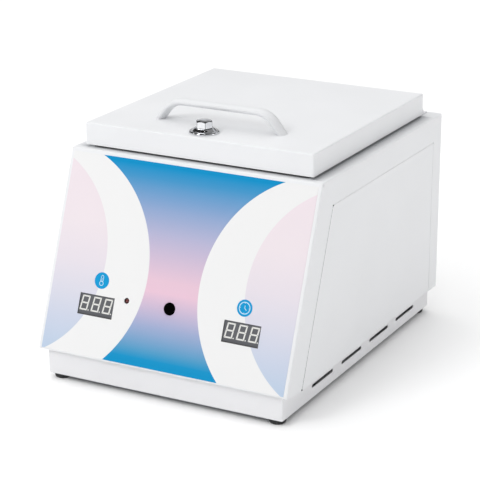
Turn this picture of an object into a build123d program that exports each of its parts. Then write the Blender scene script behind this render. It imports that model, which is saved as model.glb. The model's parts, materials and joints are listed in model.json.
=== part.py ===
from build123d import *
import os
from math import atan2, cos, degrees, hypot, radians, sin, tan

# Dry heat sterilizer: sheet metal casing with a sloped front, insulated chamber under a
# hinged lid, vented base frame, control panel on the slope and mains inlet at the back.
# Millimetres. The origin lies on the floor under the middle of the object, +Z is up and
# the sloped front faces -Y.

os.makedirs("parts", exist_ok=True)

# Casing
casing_width = 266.0
casing_depth = 353.0
casing_height = 187.0
front_setback = 70.0
front_rise = 3.5
sheet = 1.0
fold_radius = 1.6
front_strip = 31.5
top_strip = 26.8
back_strip = 22.0
seam = 0.6
relief_radius = 1.3
joggle_margin = 9.0
joggle_overlap = 1.2
side_return = 17.0
back_return = 16.0
front_lip = 8.0
lip_margin = 2.0
top_relief = 0.9
top_relief_drop = 2.4

# Base frame, bottom plate and feet
base_height = 22.0
base_inset_side = 7.0
base_inset_front = 6.5
base_inset_back = 5.0
base_flange = 14.0
bottom_flange = 16.0
plate_inset = 2.0
vent_web = 19.0
vent_height = 3.6
vent_first = 90.3
vent_last = 67.7
vent_count = 4
vent_centre = 12.0
plate_vent_columns = 3
plate_vent_rows = 5
plate_vent_spread = 66.0
plate_vent_pitch = 24.0
plate_vent_web = 20.0
foot_height = 4.5
foot_radius = 8.0
foot_inset = 10.0
foot_floor = 1.5
foot_round = 1.4

# Lid
lid_height = 21.6
lid_side_inset = 12.0
lid_front_inset = 5.2
lid_back_inset = 22.8
lid_gap = 2.7
lid_flange = 20.0
lid_front_flange = 12.0
gasket_inset = 3.5
gasket_width = 8.0
gasket_clearance = 0.3
liner_sheet = 0.8
latch_pocket = 30.0

# Handle
handle_span = 130.4
handle_rise = 19.3
handle_width = 15.0
handle_thickness = 6.4
handle_bend = 23.5
handle_lean = 52.0
handle_setback = 48.0
handle_screw_shift = 1.7

# Latch
knob_offset = -2.5
knob_setback = 20.0
knob_height = 11.5
knob_flats = 14.6
knob_chamfer = 0.3
knob_turn = 6.5
rosette_radius = 14.4
rosette_height = 4.9
rosette_neck = 8.4
shaft_radius = 4.0
stud_radius = 3.0
cam_length = 16.0
cam_width = 10.0
cam_thickness = 2.5
cam_lift = 4.7
cam_play = 0.6
striker_sheet = 1.5
striker_width = 14.0
striker_foot = 12.0
striker_grip = 9.5
striker_room = 4.0
striker_hole_pitch = 7.0
nut_flats = 10.0
nut_height = 2.4
stud_tip = 1.5
running = 0.06
play = 0.3

# Hinge
hinge_standoff = 6.0
hinge_inset = 3.0
hinge_lift = 3.6
knuckle_radius = 3.25
hinge_pin_radius = 1.5
knuckle_count = 7
knuckle_gap = 0.4
leaf_thickness = 1.5
leaf_rise = 14.0
leaf_reach = 11.5
leaf_margin = 0.8
hinge_screw_count = 5

# Chamber, insulation and heater
chamber_side_inset = 30.0
chamber_lift = 28.0
chamber_corner = 18.0
chamber_floor_radius = 10.0
chamber_sheet = 0.8
chamber_flange = 12.0
chamber_setback = 36.0
chamber_back_inset = 23.0
insulation = 20.0
heater_space = 12.0
case_sheet = 0.6
case_lift = 4.0
clamp_sheet = 1.0
clamp_length = 12.0
clamp_foot = 6.0
heater_seat = 0.1
heater_radius = 3.25
heater_bend = 15.0
heater_margin = 26.0
heater_neck = 25.0
lead_out = 12.0
probe_radius = 2.5
probe_lift = 19.0
probe_reach = 30.0
cutout_radius = 8.0
cutout_height = 6.0

# Instrument tray in the chamber
tray_play = 6.0
tray_height = 18.0
tray_sheet = 1.0
tray_level = 62.0
tray_hole = 4.0
tray_holes = 5
rail_size = 12.0
rail_sheet = 1.0
rail_end_gap = 23.0

# Front panel, all measured up the slope from its lower edge
film_thickness = 0.25
film_inset = 2.0
display_width = 37.6
display_height = 20.0
display_depth = 8.6
display_recess = 0.7
display_gap = 1.0
display_margin = 55.4
display_level = 50.4
digit_height = 14.4
digit_width = 8.4
digit_pitch = 12.4
digit_slant = 8.0
segment_width = 1.45
segment_gap = 0.12
segment_depth = 0.4
dot_radius = 0.65
dot_gap = 0.4
lamp_radius = 2.5
lamp_spacing = 31.9
control_level = 60.5
sleeve_wall = 1.2
button_radius = 5.8
button_proud = 1.4
button_travel = 1.0
button_flange = 1.4
button_offset = 0.7
board_gap = 8.6
board_thickness = 1.6
board_margin = 21.0
board_low = 34.0
board_high = 74.0
board_hole_inset = 5.0
switch_size = 12.0
switch_height = 3.6
plunger_radius = 3.0
standoff_radius = 3.0

# Power board on the bottom plate
power_margin = 41.0
power_setback = 35.0
power_hole_inset = 5.0
part_gap = 1.0
terminal_margin = 6.5
transformer_size = (42.0, 35.0, 30.0)
relay_size = (29.0, 13.0, 16.0)
terminal_size = (58.0, 14.0, 15.0)
terminal_ways = 6
fuse_radius = 2.6
fuse_length = 20.0
earth_setback = 30.0
earth_height = 14.0
earth_nut = (5.0, 1.0)

# Back panel
inlet_flange = 3.0
inlet_width = 50.0
inlet_height = 24.0
inlet_body = (28.0, 20.0, 20.0)
socket_size = (24.0, 16.4)
socket_depth = 17.0
socket_corner = 5.0
inlet_pin_recess = 5.6
blade_size = (2.0, 4.0)
blade_pitch = 7.0
blade_rise = 2.0
inlet_screw_spacing = 40.0
inlet_margin = 63.0
inlet_level = 26.0
bezel_width = 25.0
bezel_height = 31.0
bezel_thickness = 2.0
bezel_wall = 3.4
switch_body_depth = 14.0
rocker_tilt = 7.0
rocker_pivot_depth = 6.0
rocker_tip = 5.5
rocker_pin_radius = 1.5
rocker_play = 0.4
back_vent_length = 34.0
back_vent_height = 3.0
back_vent_rows = 6
back_vent_pitch = 9.0
back_vent_level = 100.0

# Screws: shank radius, head radius, head height; and the length under each head
m3 = (1.5, 2.8, 1.8)
m4 = (2.0, 3.8, 2.4)
low_head = (1.5, 2.8, 1.2)
thin_head = (1.5, 2.8, 0.9)
frame_screw_length = 5.0
foot_screw_length = 6.5
board_screw_length = 4.0
liner_screw_length = 4.0
handle_screw_length = 5.5
hinge_screw_length = 5.0
inlet_screw_length = 6.0

# Levels and edges that follow from the sizes above
z_frame = foot_height + sheet
z_side = z_frame + base_height
z_edge = z_side + front_rise
z_top = z_side + casing_height
slope = atan2(front_setback, z_top - z_edge)
slope_length = hypot(front_setback, z_top - z_edge)
half_width = casing_width / 2
display_offset = half_width - display_margin
lamp_offset = lamp_spacing - display_offset
board_half_width = half_width - board_margin
inlet_offset = inlet_margin - half_width
switch_offset = -inlet_offset

# the round of the lower front fold takes this much off the depth between the sharp corners
under_slope = atan2(front_rise, front_strip)
fold_rise = fold_radius * (cos(slope) - sin(under_slope)) / cos(slope - under_slope)
fold_trim = (fold_radius + sin(slope) * fold_rise) / cos(slope) - fold_radius
y_front = -(casing_depth - fold_trim + inlet_flange) / 2 - fold_trim
y_back = y_front + casing_depth

lid_width = casing_width - 2 * lid_side_inset
lid_depth = casing_depth - front_setback - lid_front_inset - lid_back_inset
lid_front = y_front + front_setback + lid_front_inset
lid_back = lid_front + lid_depth
lid_middle = (lid_front + lid_back) / 2
lid_low = z_top + lid_gap
lid_top = lid_low + lid_height

front_plane = Plane(
    origin=(0, y_front, z_edge), x_dir=(1, 0, 0), z_dir=(0, -cos(slope), sin(slope))
)
back_plane = Plane(origin=(0, y_back, z_side), x_dir=(-1, 0, 0), z_dir=(0, 1, 0))

base_half = half_width - base_inset_side
base_y0 = y_front + base_inset_front
base_y1 = y_back - base_inset_back
base_middle = (base_y0 + base_y1) / 2
base_length = base_y1 - base_y0
vent_pitch = (casing_depth - vent_first - vent_last) / (vent_count - 1)
vent_length = vent_pitch - vent_web
power_width = 2 * (base_half - power_margin)
power_length = 2 * (terminal_margin + terminal_size[1] + part_gap) + relay_size[1]

chamber_width = casing_width - 2 * chamber_side_inset
chamber_length = lid_depth - chamber_setback - chamber_back_inset
chamber_front = lid_front + chamber_setback
chamber_middle = chamber_front + chamber_length / 2
chamber_top = z_top - sheet
chamber_bottom = z_side + chamber_lift
case_half = chamber_width / 2 + chamber_sheet + insulation
case_y0 = chamber_front - chamber_sheet - insulation
case_y1 = chamber_front + chamber_length + chamber_sheet + insulation
case_bottom = z_side + sheet + case_lift
case_top = chamber_top - chamber_sheet

seam_foot = y_front + front_strip
seam_top = z_top - top_strip
seam_back = y_back - back_strip
seam_lean = tan(slope) * (seam_top - z_side)
well_back = y_back - back_return
front_flange = seam_foot + front_lip - base_y0
rail_top = chamber_bottom + tray_level
rail_length = chamber_length - 2 * rail_end_gap

board_back = board_gap + board_thickness
front_normal = Axis(front_plane.origin, front_plane.z_dir)


def finish(part, name):
    part.label = name
    export_step(part, f"parts/{name}.step")


def closed_face(points, mode=Mode.ADD):
    Polygon(*points, align=None, mode=mode)


def post(plane, places, radius, length, mode=Mode.ADD):
    """Round posts or bores that start on a plane and run along its normal."""
    with Locations(plane):
        with Locations(*places):
            Cylinder(radius, length, align=(Align.CENTER, Align.CENTER, Align.MIN), mode=mode)


def screws(plane, places, size, length):
    """Pan head screws whose heads sit below a plane and whose shanks point along its normal."""
    shank, head, height = size
    post(plane.offset(-height), places, head, height)
    post(plane, places, shank, length)


def level(height):
    return Plane.XY.offset(height)


def below(height):
    """A plane at a height that faces down; its second axis runs along -Y."""
    return Plane(origin=(0, 0, height), x_dir=(1, 0, 0), z_dir=(0, 0, -1))


def forward(y):
    """A plane across the depth that faces the front, with X and Z as its axes."""
    return Plane(origin=(0, y, 0), x_dir=(1, 0, 0), z_dir=(0, -1, 0))


# Places shared by holes and the screws in them
side_screw_x = base_half - base_flange / 2
side_screw_y = (base_middle - base_length / 4, base_middle + base_length / 4)
back_screw_x = casing_width / 4
back_screw_y = base_y1 - base_flange / 2
front_screw_y = seam_foot + front_lip / 2
side_screws = [(sx * side_screw_x, y) for sx in (-1, 1) for y in side_screw_y]
end_screws = [(sx * back_screw_x, y) for sx in (-1, 1) for y in (front_screw_y, back_screw_y)]
frame_screws = side_screws + end_screws

plate_screw_x = base_half - bottom_flange / 2
plate_screws = [
    (sx * plate_screw_x, base_middle + sy * base_length / 4) for sx in (-1, 1) for sy in (-1, 1)
]
feet_places = [
    (sx * (base_half - foot_inset), y)
    for sx in (-1, 1)
    for y in (base_y0 + foot_inset, base_y1 - foot_inset)
]

hinge_y = lid_back + hinge_standoff
hinge_z = z_top + hinge_lift
hinge_width = lid_width - 2 * hinge_inset
hinge_pitch = hinge_width / knuckle_count
screw_pitch = hinge_width / hinge_screw_count
hinge_screw_x = [(i - (hinge_screw_count - 1) / 2) * screw_pitch for i in range(hinge_screw_count)]
leaf_screw_y = hinge_y + leaf_reach - low_head[1] - leaf_margin
leaf_screw_z = hinge_z + leaf_rise - low_head[1] - 3 * leaf_margin

handle_y = lid_front + handle_setback
handle_screw_x = handle_span / 2 - handle_screw_shift
handle_screw_places = [(sx * handle_screw_x, handle_y) for sx in (-1, 1)]

striker_web_x = knob_offset - cam_length - striker_room
striker_lip_x = striker_web_x + striker_room / 2 + striker_grip
striker_y = lid_front + knob_setback
striker_foot_x = striker_web_x - striker_foot / 2
striker_holes = [(striker_foot_x, striker_y + sy * striker_hole_pitch / 2) for sy in (-1, 1)]

board_holes = [
    (sx * (board_half_width - board_hole_inset), v)
    for sx in (-1, 1)
    for v in (board_low + board_hole_inset, board_high - board_hole_inset)
]
power_y = y_front + power_setback + power_length / 2
power_holes = [
    (sx * (power_width / 2 - power_hole_inset), power_y + sy * (power_length / 2 - power_hole_inset))
    for sx in (-1, 1)
    for sy in (-1, 1)
]
inlet_screws_x = [inlet_offset + sx * inlet_screw_spacing / 2 for sx in (-1, 1)]


# Casing: front, top and back folded from one sheet, with flanges that turn onto the sides
side_profile = [
    (y_front, z_edge),
    (seam_foot, z_side),
    (y_back, z_side),
    (y_back, z_top),
    (y_front + front_setback, z_top),
]
window = [
    (seam_foot, z_side),
    (seam_foot + seam_lean, seam_top),
    (seam_back, seam_top),
    (seam_back, z_side),
]


def front_wedge(inset):
    """Side view of the base's front under the casing's slope, or of the hollow within it."""
    y = base_y0 + inset
    drop = inset / cos(under_slope)
    foot = z_side - sheet - inset
    crest = z_edge - (y - y_front) * tan(under_slope) - drop
    return [(y, foot), (y, crest), (seam_foot, z_side - drop), (seam_foot, foot)]


def is_fold(edge):
    middle = edge.center()
    if abs(edge.tangent_at(0.5).X) > 0.9:
        return abs(middle.Y - seam_foot) > 1.0
    return middle.Z > z_edge


with BuildPart() as casing:
    with BuildSketch(Plane.YZ.offset(-half_width)):
        closed_face(side_profile)
    extrude(amount=casing_width)
    fillet(casing.edges().filter_by(is_fold), fold_radius)
    with BuildSketch(Plane.YZ.offset(-half_width + sheet)):
        closed_face(side_profile)
        offset(amount=-sheet, kind=Kind.INTERSECTION)
    extrude(amount=casing_width - 2 * sheet, mode=Mode.SUBTRACT)
    # the open underside between the front return, with its lip, and the back return
    with BuildSketch(level(z_side - sheet)):
        with Locations((0, (seam_foot + well_back) / 2)):
            Rectangle(casing_width - 2 * sheet, well_back - seam_foot)
        with Locations((0, seam_foot + front_lip / 2)):
            Rectangle(casing_width - 2 * side_return - 2 * lip_margin, front_lip, mode=Mode.SUBTRACT)
    extrude(amount=3 * sheet, mode=Mode.SUBTRACT)
    # side windows, open at the bottom, with round reliefs at their corners
    for sx in (-1, 1):
        with BuildSketch(Plane.YZ.offset(sx * half_width)):
            closed_face(window)
            offset(amount=seam, kind=Kind.INTERSECTION)
            with Locations(window[1], window[2], (window[0][0], z_side + relief_radius)):
                Circle(relief_radius)
            with Locations((y_front + front_setback + fold_radius, z_top - top_relief_drop)):
                Circle(top_relief)
        extrude(amount=-sx * (side_return + lip_margin / 2), mode=Mode.SUBTRACT)
    # chamber mouth and the screw holes in the top
    with BuildSketch(level(z_top)):
        with Locations((0, chamber_middle)):
            RectangleRounded(chamber_width, chamber_length, chamber_corner)
        with Locations(*[(x, leaf_screw_y) for x in hinge_screw_x]):
            Circle(m3[0])
        with Locations(*striker_holes):
            Circle(m3[0])
    extrude(amount=-2 * sheet, mode=Mode.SUBTRACT)
    # control panel openings in the slope
    with BuildSketch(front_plane):
        with Locations((-display_offset, display_level), (display_offset, display_level)):
            Rectangle(display_width + 2 * display_gap, display_height + 2 * display_gap)
        with Locations((lamp_offset, control_level)):
            Circle(lamp_radius + 0.3)
        with Locations((button_offset, control_level)):
            Circle(button_radius + 0.3)
    extrude(amount=-2 * sheet, mode=Mode.SUBTRACT)
    # back panel: inlet, switch and two banks of vents
    with BuildSketch(back_plane):
        with Locations((inlet_offset, inlet_level)):
            Rectangle(inlet_body[0], inlet_body[1])
        with Locations(*[(x, inlet_level) for x in inlet_screws_x]):
            Circle(m3[0])
        with Locations((switch_offset, inlet_level)):
            Rectangle(bezel_width - bezel_wall, bezel_height - bezel_wall)
        with Locations((-back_vent_length, back_vent_level), (back_vent_length, back_vent_level)):
            with GridLocations(1, back_vent_pitch, 1, back_vent_rows):
                SlotOverall(back_vent_length, back_vent_height)
    extrude(amount=-2 * sheet, mode=Mode.SUBTRACT)
    with BuildSketch(level(z_side)):
        with Locations(*end_screws):
            Circle(m4[0])
    extrude(amount=2 * sheet, mode=Mode.SUBTRACT)
finish(casing.part, "casing")


# Side panels: flush in the windows, with joggled margins behind the casing's flanges
with BuildPart() as side_panel_right:
    with BuildSketch(Plane.YZ.offset(half_width - sheet)):
        closed_face(window)
        with Locations(window[1], window[2]):
            Circle(relief_radius, mode=Mode.SUBTRACT)
        with Locations((window[0][0], z_side + relief_radius)):
            Circle(relief_radius, mode=Mode.SUBTRACT)
    extrude(amount=sheet)
    with BuildSketch(Plane.YZ.offset(half_width - 2 * sheet)):
        closed_face(window)
        offset(amount=joggle_margin, kind=Kind.INTERSECTION)
        with BuildSketch(mode=Mode.SUBTRACT):
            closed_face(window)
            offset(amount=-joggle_overlap, kind=Kind.INTERSECTION)
        with Locations(((y_front + y_back) / 2, z_side - joggle_margin)):
            Rectangle(casing_depth, 4 * joggle_margin, mode=Mode.SUBTRACT)
    extrude(amount=sheet)
    with BuildSketch(level(z_side)):
        with Locations((half_width - side_return / 2, (seam_foot + seam_back) / 2)):
            Rectangle(side_return, seam_back - seam_foot - 2 * relief_radius)
        with Locations(*side_screws):
            Circle(m4[0], mode=Mode.SUBTRACT)
    extrude(amount=sheet)
    fillet(
        side_panel_right.edges().filter_by(Axis.Y).group_by(Axis.Z)[0].sort_by(Axis.X)[-1],
        fold_radius / 2,
    )
finish(side_panel_right.part, "side_panel_right")

with BuildPart() as side_panel_left:
    mirror(side_panel_right.part, about=Plane.YZ)
finish(side_panel_left.part, "side_panel_left")


# Base frame: four folded walls with a flange at the top and at the bottom, vents in both sides,
# and a front that follows the slope of the casing's underside
with BuildPart() as base_frame:
    with BuildSketch(level(z_frame)):
        with Locations((0, base_middle)):
            Rectangle(2 * base_half, base_length)
    extrude(amount=base_height)
    with BuildSketch(Plane.YZ.offset(-base_half)):
        closed_face(front_wedge(0))
    extrude(amount=2 * base_half)
    fillet(base_frame.edges().filter_by(Axis.Z), fold_radius)
    fillet(base_frame.edges().group_by(Axis.Z)[0], fold_radius / 2)
    with BuildSketch(level(z_frame + sheet)):
        with Locations((0, base_middle)):
            Rectangle(2 * (base_half - sheet), base_length - 2 * sheet)
    extrude(amount=base_height - 2 * sheet, mode=Mode.SUBTRACT)
    with BuildSketch(Plane.YZ.offset(-base_half + sheet)):
        closed_face(front_wedge(sheet))
    extrude(amount=2 * (base_half - sheet), mode=Mode.SUBTRACT)
    with BuildSketch(level(z_side)):
        with Locations((0, base_middle + (front_flange - base_flange) / 2)):
            Rectangle(2 * (base_half - base_flange), base_length - front_flange - base_flange)
        with Locations(*frame_screws):
            Circle(m4[0])
    extrude(amount=-2 * sheet, mode=Mode.SUBTRACT)
    with BuildSketch(level(z_frame)):
        with Locations((0, base_middle)):
            Rectangle(2 * (base_half - bottom_flange), base_length - 2 * bottom_flange)
        with Locations(*plate_screws, *feet_places):
            Circle(m4[0])
    extrude(amount=2 * sheet, mode=Mode.SUBTRACT)
    with BuildSketch(Plane.YZ):
        for i in range(vent_count):
            with Locations((y_front + vent_first + i * vent_pitch, z_frame + vent_centre)):
                SlotOverall(vent_length, vent_height)
    extrude(amount=half_width, both=True, mode=Mode.SUBTRACT)
finish(base_frame.part, "base_frame")

with BuildPart() as bottom_plate:
    with BuildSketch(level(foot_height)):
        with Locations((0, base_middle)):
            RectangleRounded(2 * (base_half - plate_inset), base_length - 2 * plate_inset, fold_radius)
            with GridLocations(plate_vent_spread, plate_vent_pitch, plate_vent_columns, plate_vent_rows):
                SlotOverall(plate_vent_spread - plate_vent_web, vent_height, mode=Mode.SUBTRACT)
        with Locations(*plate_screws, *feet_places):
            Circle(m4[0], mode=Mode.SUBTRACT)
        with Locations(*power_holes):
            Circle(m3[0], mode=Mode.SUBTRACT)
    extrude(amount=sheet)
finish(bottom_plate.part, "bottom_plate")

with BuildPart() as feet:
    post(level(0), feet_places, foot_radius, foot_height)
    fillet(feet.edges().group_by(Axis.Z)[0], foot_round)
    post(level(0), feet_places, m4[1] + play, foot_height - foot_floor, mode=Mode.SUBTRACT)
    post(level(0), feet_places, m4[0], foot_height, mode=Mode.SUBTRACT)
finish(feet.part, "feet")

with BuildPart() as foot_screws:
    screws(level(foot_height - foot_floor), feet_places, m4, foot_screw_length)
finish(foot_screws.part, "foot_screws")

with BuildPart() as base_screws:
    screws(level(foot_height), plate_screws, m4, frame_screw_length)
    screws(level(z_side - sheet), frame_screws, m4, frame_screw_length)
finish(base_screws.part, "base_screws")


# Front film, printed, with windows that line up with those in the slope
with BuildPart() as front_film:
    with BuildSketch(front_plane):
        with Locations((0, slope_length / 2)):
            Rectangle(
                casing_width - 2 * film_inset - 2 * fold_radius,
                slope_length - 2 * film_inset - 2 * fold_radius,
            )
        with Locations((-display_offset, display_level), (display_offset, display_level)):
            Rectangle(
                display_width + 2 * display_gap,
                display_height + 2 * display_gap,
                mode=Mode.SUBTRACT,
            )
        with Locations((lamp_offset, control_level)):
            Circle(lamp_radius + 0.3, mode=Mode.SUBTRACT)
        with Locations((button_offset, control_level)):
            Circle(button_radius + 0.3, mode=Mode.SUBTRACT)
    extrude(amount=film_thickness)
finish(front_film.part, "front_film")


# Displays: a dark module with three slanted digits and their points let into its face
def digit_bars():
    """Outlines of the seven bars of one upright digit, mitred where they meet."""
    u, v = digit_width / 2, digit_height / 2
    half = segment_width / 2
    inner, low = u - segment_width, v - segment_width
    gap = segment_gap
    across = [(gap - u, v), (u - gap, v), (inner - gap, low), (gap - inner, low)]
    upright = [(u, v - gap), (u, gap), (u - half, gap), (inner, half + gap), (inner, low - gap)]
    shoulder = [(inner - gap, half), (u - half - gap, 0), (inner - gap, -half)]
    yield shoulder + [(-x, -y) for x, y in shoulder]
    for sv in (-1, 1):
        yield [(x, sv * y) for x, y in across]
        for su in (-1, 1):
            yield [(su * x, sv * y) for x, y in upright]


def digits():
    for k in (-1, 0, 1):
        centre = k * digit_pitch
        for bar in digit_bars():
            closed_face([(centre + x + tan(radians(digit_slant)) * y, y) for x, y in bar])
        with Locations((centre + digit_width / 2 + dot_gap, dot_radius - digit_height / 2)):
            Circle(dot_radius)


def display_plane(side, depth):
    spot = front_plane.location * Location((side * display_offset, display_level, -depth))
    return Plane(spot)


def build_display(side, name):
    with BuildPart() as module:
        with BuildSketch(display_plane(side, display_recess)):
            Rectangle(display_width, display_height)
        extrude(amount=-(display_depth - display_recess))
        with BuildSketch(display_plane(side, display_recess)):
            digits()
        extrude(amount=-segment_depth, mode=Mode.SUBTRACT)
    finish(module.part, f"{name}_display")
    with BuildPart() as segments:
        with BuildSketch(display_plane(side, display_recess)):
            digits()
        extrude(amount=-segment_depth)
    finish(segments.part, f"{name}_segments")


build_display(-1, "temperature")
build_display(1, "time")


# Lamp, its sleeve, the button and its switch
lamp_place = [(lamp_offset, control_level)]
button_place = [(button_offset, control_level)]
board_face = front_plane.offset(-board_gap)
with BuildPart() as status_lamp:
    post(board_face, lamp_place, lamp_radius, board_gap - lamp_radius)
    with Locations(front_plane.offset(-lamp_radius)):
        with Locations(*lamp_place):
            Sphere(lamp_radius)
finish(status_lamp.part, "status_lamp")

with BuildPart() as lamp_sleeve:
    post(board_face, lamp_place, lamp_radius + sleeve_wall, board_gap - sheet)
    post(board_face, lamp_place, lamp_radius, board_gap, mode=Mode.SUBTRACT)
finish(lamp_sleeve.part, "lamp_sleeve")

cap_back = sheet + play + button_flange
with BuildPart() as button_cap:
    post(front_plane.offset(-cap_back), button_place, button_radius, cap_back + button_proud)
    post(front_plane.offset(-cap_back), button_place, button_radius + 1.2, button_flange)
    fillet(button_cap.faces().sort_by(front_normal)[-1].edges(), 0.6)
finish(button_cap.part, "button_cap")

plunger_low = board_gap - 0.8
plunger_length = plunger_low - cap_back - button_travel
with BuildPart() as switch_plunger:
    post(front_plane.offset(-cap_back - plunger_length), button_place, plunger_radius, plunger_length)
finish(switch_plunger.part, "switch_plunger")

with BuildPart() as button_switch:
    with Locations(board_face):
        with Locations(*button_place):
            Box(switch_size, switch_size, switch_height, align=(Align.CENTER, Align.CENTER, Align.MIN))
    post(
        front_plane.offset(-plunger_low),
        button_place,
        plunger_radius + running,
        switch_height,
        mode=Mode.SUBTRACT,
    )
finish(button_switch.part, "button_switch")

with BuildPart() as control_board:
    with BuildSketch(front_plane.offset(-board_gap)):
        with Locations((0, (board_low + board_high) / 2)):
            Rectangle(2 * board_half_width, board_high - board_low)
        with Locations(*board_holes):
            Circle(m3[0], mode=Mode.SUBTRACT)
    extrude(amount=-board_thickness)
finish(control_board.part, "control_board")

# the same hexagon standoffs carry the control board and the power board
standoff_length = board_gap - sheet
with BuildPart() as board_standoffs:
    with BuildSketch(front_plane.offset(-sheet)):
        with Locations(*board_holes):
            RegularPolygon(standoff_radius, 6)
            Circle(m3[0], mode=Mode.SUBTRACT)
    extrude(amount=-standoff_length)
    with BuildSketch(level(z_frame)):
        with Locations(*power_holes):
            RegularPolygon(standoff_radius, 6)
            Circle(m3[0], mode=Mode.SUBTRACT)
    extrude(amount=standoff_length)
finish(board_standoffs.part, "board_standoffs")

power_low = z_frame + standoff_length
power_top = power_low + board_thickness
with BuildPart() as board_screws:
    screws(front_plane.offset(-board_back), board_holes, m3, board_screw_length)
    screws(below(power_top), [(x, -y) for x, y in power_holes], m3, board_screw_length)
    screws(level(foot_height), power_holes, m3, board_screw_length)
finish(board_screws.part, "board_screws")


# Power board and what stands on it
with BuildPart() as power_board:
    with BuildSketch(level(power_low)):
        with Locations((0, power_y)):
            Rectangle(power_width, power_length)
        with Locations(*power_holes):
            Circle(m3[0], mode=Mode.SUBTRACT)
    extrude(amount=board_thickness)
finish(power_board.part, "power_board")

with BuildPart() as transformer:
    with Locations((-power_width / 4, power_y, power_top)):
        Box(*transformer_size, align=(Align.CENTER, Align.CENTER, Align.MIN))
    chamfer(transformer.edges().filter_by(Axis.Z), 1.5)
    with Locations((-power_width / 4, power_y, power_top + transformer_size[2] / 5)):
        Box(
            transformer_size[0] * 0.6,
            transformer_size[1] + 10,
            transformer_size[2] * 0.6,
            align=(Align.CENTER, Align.CENTER, Align.MIN),
        )
finish(transformer.part, "transformer")

with BuildPart() as relay:
    with Locations((power_width / 10, power_y, power_top)):
        Box(*relay_size, align=(Align.CENTER, Align.CENTER, Align.MIN))
    chamfer(relay.faces().sort_by(Axis.Z)[-1].edges(), 0.8)
finish(relay.part, "relay")

terminal_pitch = terminal_size[0] / terminal_ways
with BuildPart() as terminal_block:
    terminal_y = power_y + power_length / 2 - terminal_margin - terminal_size[1] / 2
    with Locations((power_width / 4, terminal_y, power_top)):
        Box(*terminal_size, align=(Align.CENTER, Align.CENTER, Align.MIN))
        with GridLocations(terminal_pitch, 1, terminal_ways, 1):
            with Locations((0, 0, terminal_size[2])):
                Cylinder(
                    2.2,
                    8,
                    align=(Align.CENTER, Align.CENTER, Align.MAX),
                    mode=Mode.SUBTRACT,
                )
finish(terminal_block.part, "terminal_block")

with BuildPart() as fuse:
    with Locations((power_width / 4, power_y - power_length / 4, power_top)):
        with Locations((0, 0, fuse_radius + 1.0)):
            Cylinder(fuse_radius, fuse_length, rotation=(0, 90, 0))
        with Locations((-fuse_length / 3, 0), (fuse_length / 3, 0)):
            Box(
                4,
                2 * fuse_radius + 1.4,
                fuse_radius + 1.6,
                align=(Align.CENTER, Align.CENTER, Align.MIN),
            )
finish(fuse.part, "fuse")


# Chamber: drawn tub with a flange welded under the casing's top
def tub(grow, top, bottom, floor_radius):
    with BuildPart() as block:
        with BuildSketch(level(bottom)):
            with Locations((0, chamber_middle)):
                RectangleRounded(chamber_width + 2 * grow, chamber_length + 2 * grow, chamber_corner + grow)
        extrude(amount=top - bottom)
        fillet(block.edges().group_by(Axis.Z)[0], floor_radius)
    return block.part


probe_z = rail_top + tray_height + probe_lift
probe_tip = chamber_front + probe_reach
probe_plane = Plane(origin=(0, probe_tip, probe_z), x_dir=(1, 0, 0), z_dir=(0, -1, 0))
probe_length = probe_tip - case_y0 + lead_out
heater_z = chamber_bottom - heater_radius - heater_seat
heater_out = case_y0 - lead_out


def probe_bore():
    post(probe_plane, [(0, 0)], probe_radius, probe_length, mode=Mode.SUBTRACT)


def neck_bores(y):
    """Bores for the two ends of the heater, from a depth out to the front."""
    places = [(-heater_neck, heater_z), (heater_neck, heater_z)]
    post(forward(y), places, heater_radius, y - heater_out, mode=Mode.SUBTRACT)


with BuildPart() as chamber:
    add(tub(chamber_sheet, chamber_top, chamber_bottom, chamber_floor_radius))
    with BuildSketch(level(chamber_top)):
        with Locations((0, chamber_middle)):
            RectangleRounded(
                chamber_width + 2 * chamber_flange,
                chamber_length + 2 * chamber_flange,
                chamber_corner + chamber_flange,
            )
    extrude(amount=-chamber_sheet)
    add(
        tub(0, chamber_top, chamber_bottom + chamber_sheet, chamber_floor_radius - chamber_sheet),
        mode=Mode.SUBTRACT,
    )
    probe_bore()
finish(chamber.part, "chamber")

with BuildPart() as chamber_insulation:
    with BuildSketch(level(case_bottom + case_sheet)):
        with Locations((0, chamber_middle)):
            Rectangle(2 * case_half - 2 * case_sheet, case_y1 - case_y0 - 2 * case_sheet)
    extrude(amount=case_top - case_bottom - case_sheet)
    add(
        tub(chamber_sheet, case_top, chamber_bottom - heater_space, chamber_floor_radius),
        mode=Mode.SUBTRACT,
    )
    neck_bores(chamber_front + heater_margin)
    probe_bore()
finish(chamber_insulation.part, "chamber_insulation")

with BuildPart() as insulation_case:
    with BuildSketch(level(case_bottom)):
        with Locations((0, chamber_middle)):
            Rectangle(2 * case_half, case_y1 - case_y0)
    extrude(amount=case_top - case_bottom)
    with BuildSketch(level(case_bottom + case_sheet)):
        with Locations((0, chamber_middle)):
            Rectangle(2 * case_half - 2 * case_sheet, case_y1 - case_y0 - 2 * case_sheet)
    extrude(amount=case_top - case_bottom, mode=Mode.SUBTRACT)
    neck_bores(case_y0 + 2 * case_sheet)
    probe_bore()
finish(insulation_case.part, "insulation_case")


# Heater: one tube bent into a loop under the tub, both ends out through the front
loop_x = chamber_width / 2 - heater_margin
loop_y0 = chamber_front + heater_margin
loop_y1 = chamber_front + chamber_length - heater_margin
heater_points = [
    (-heater_neck, heater_out, heater_z),
    (-heater_neck, loop_y0, heater_z),
    (-loop_x, loop_y0, heater_z),
    (-loop_x, loop_y1, heater_z),
    (loop_x, loop_y1, heater_z),
    (loop_x, loop_y0, heater_z),
    (heater_neck, loop_y0, heater_z),
    (heater_neck, heater_out, heater_z),
]
with BuildPart() as heater:
    with BuildLine():
        FilletPolyline(*heater_points, radius=heater_bend)
    with BuildSketch(Plane(origin=heater_points[0], z_dir=(0, 1, 0))):
        Circle(heater_radius)
    sweep()
finish(heater.part, "heater")

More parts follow.
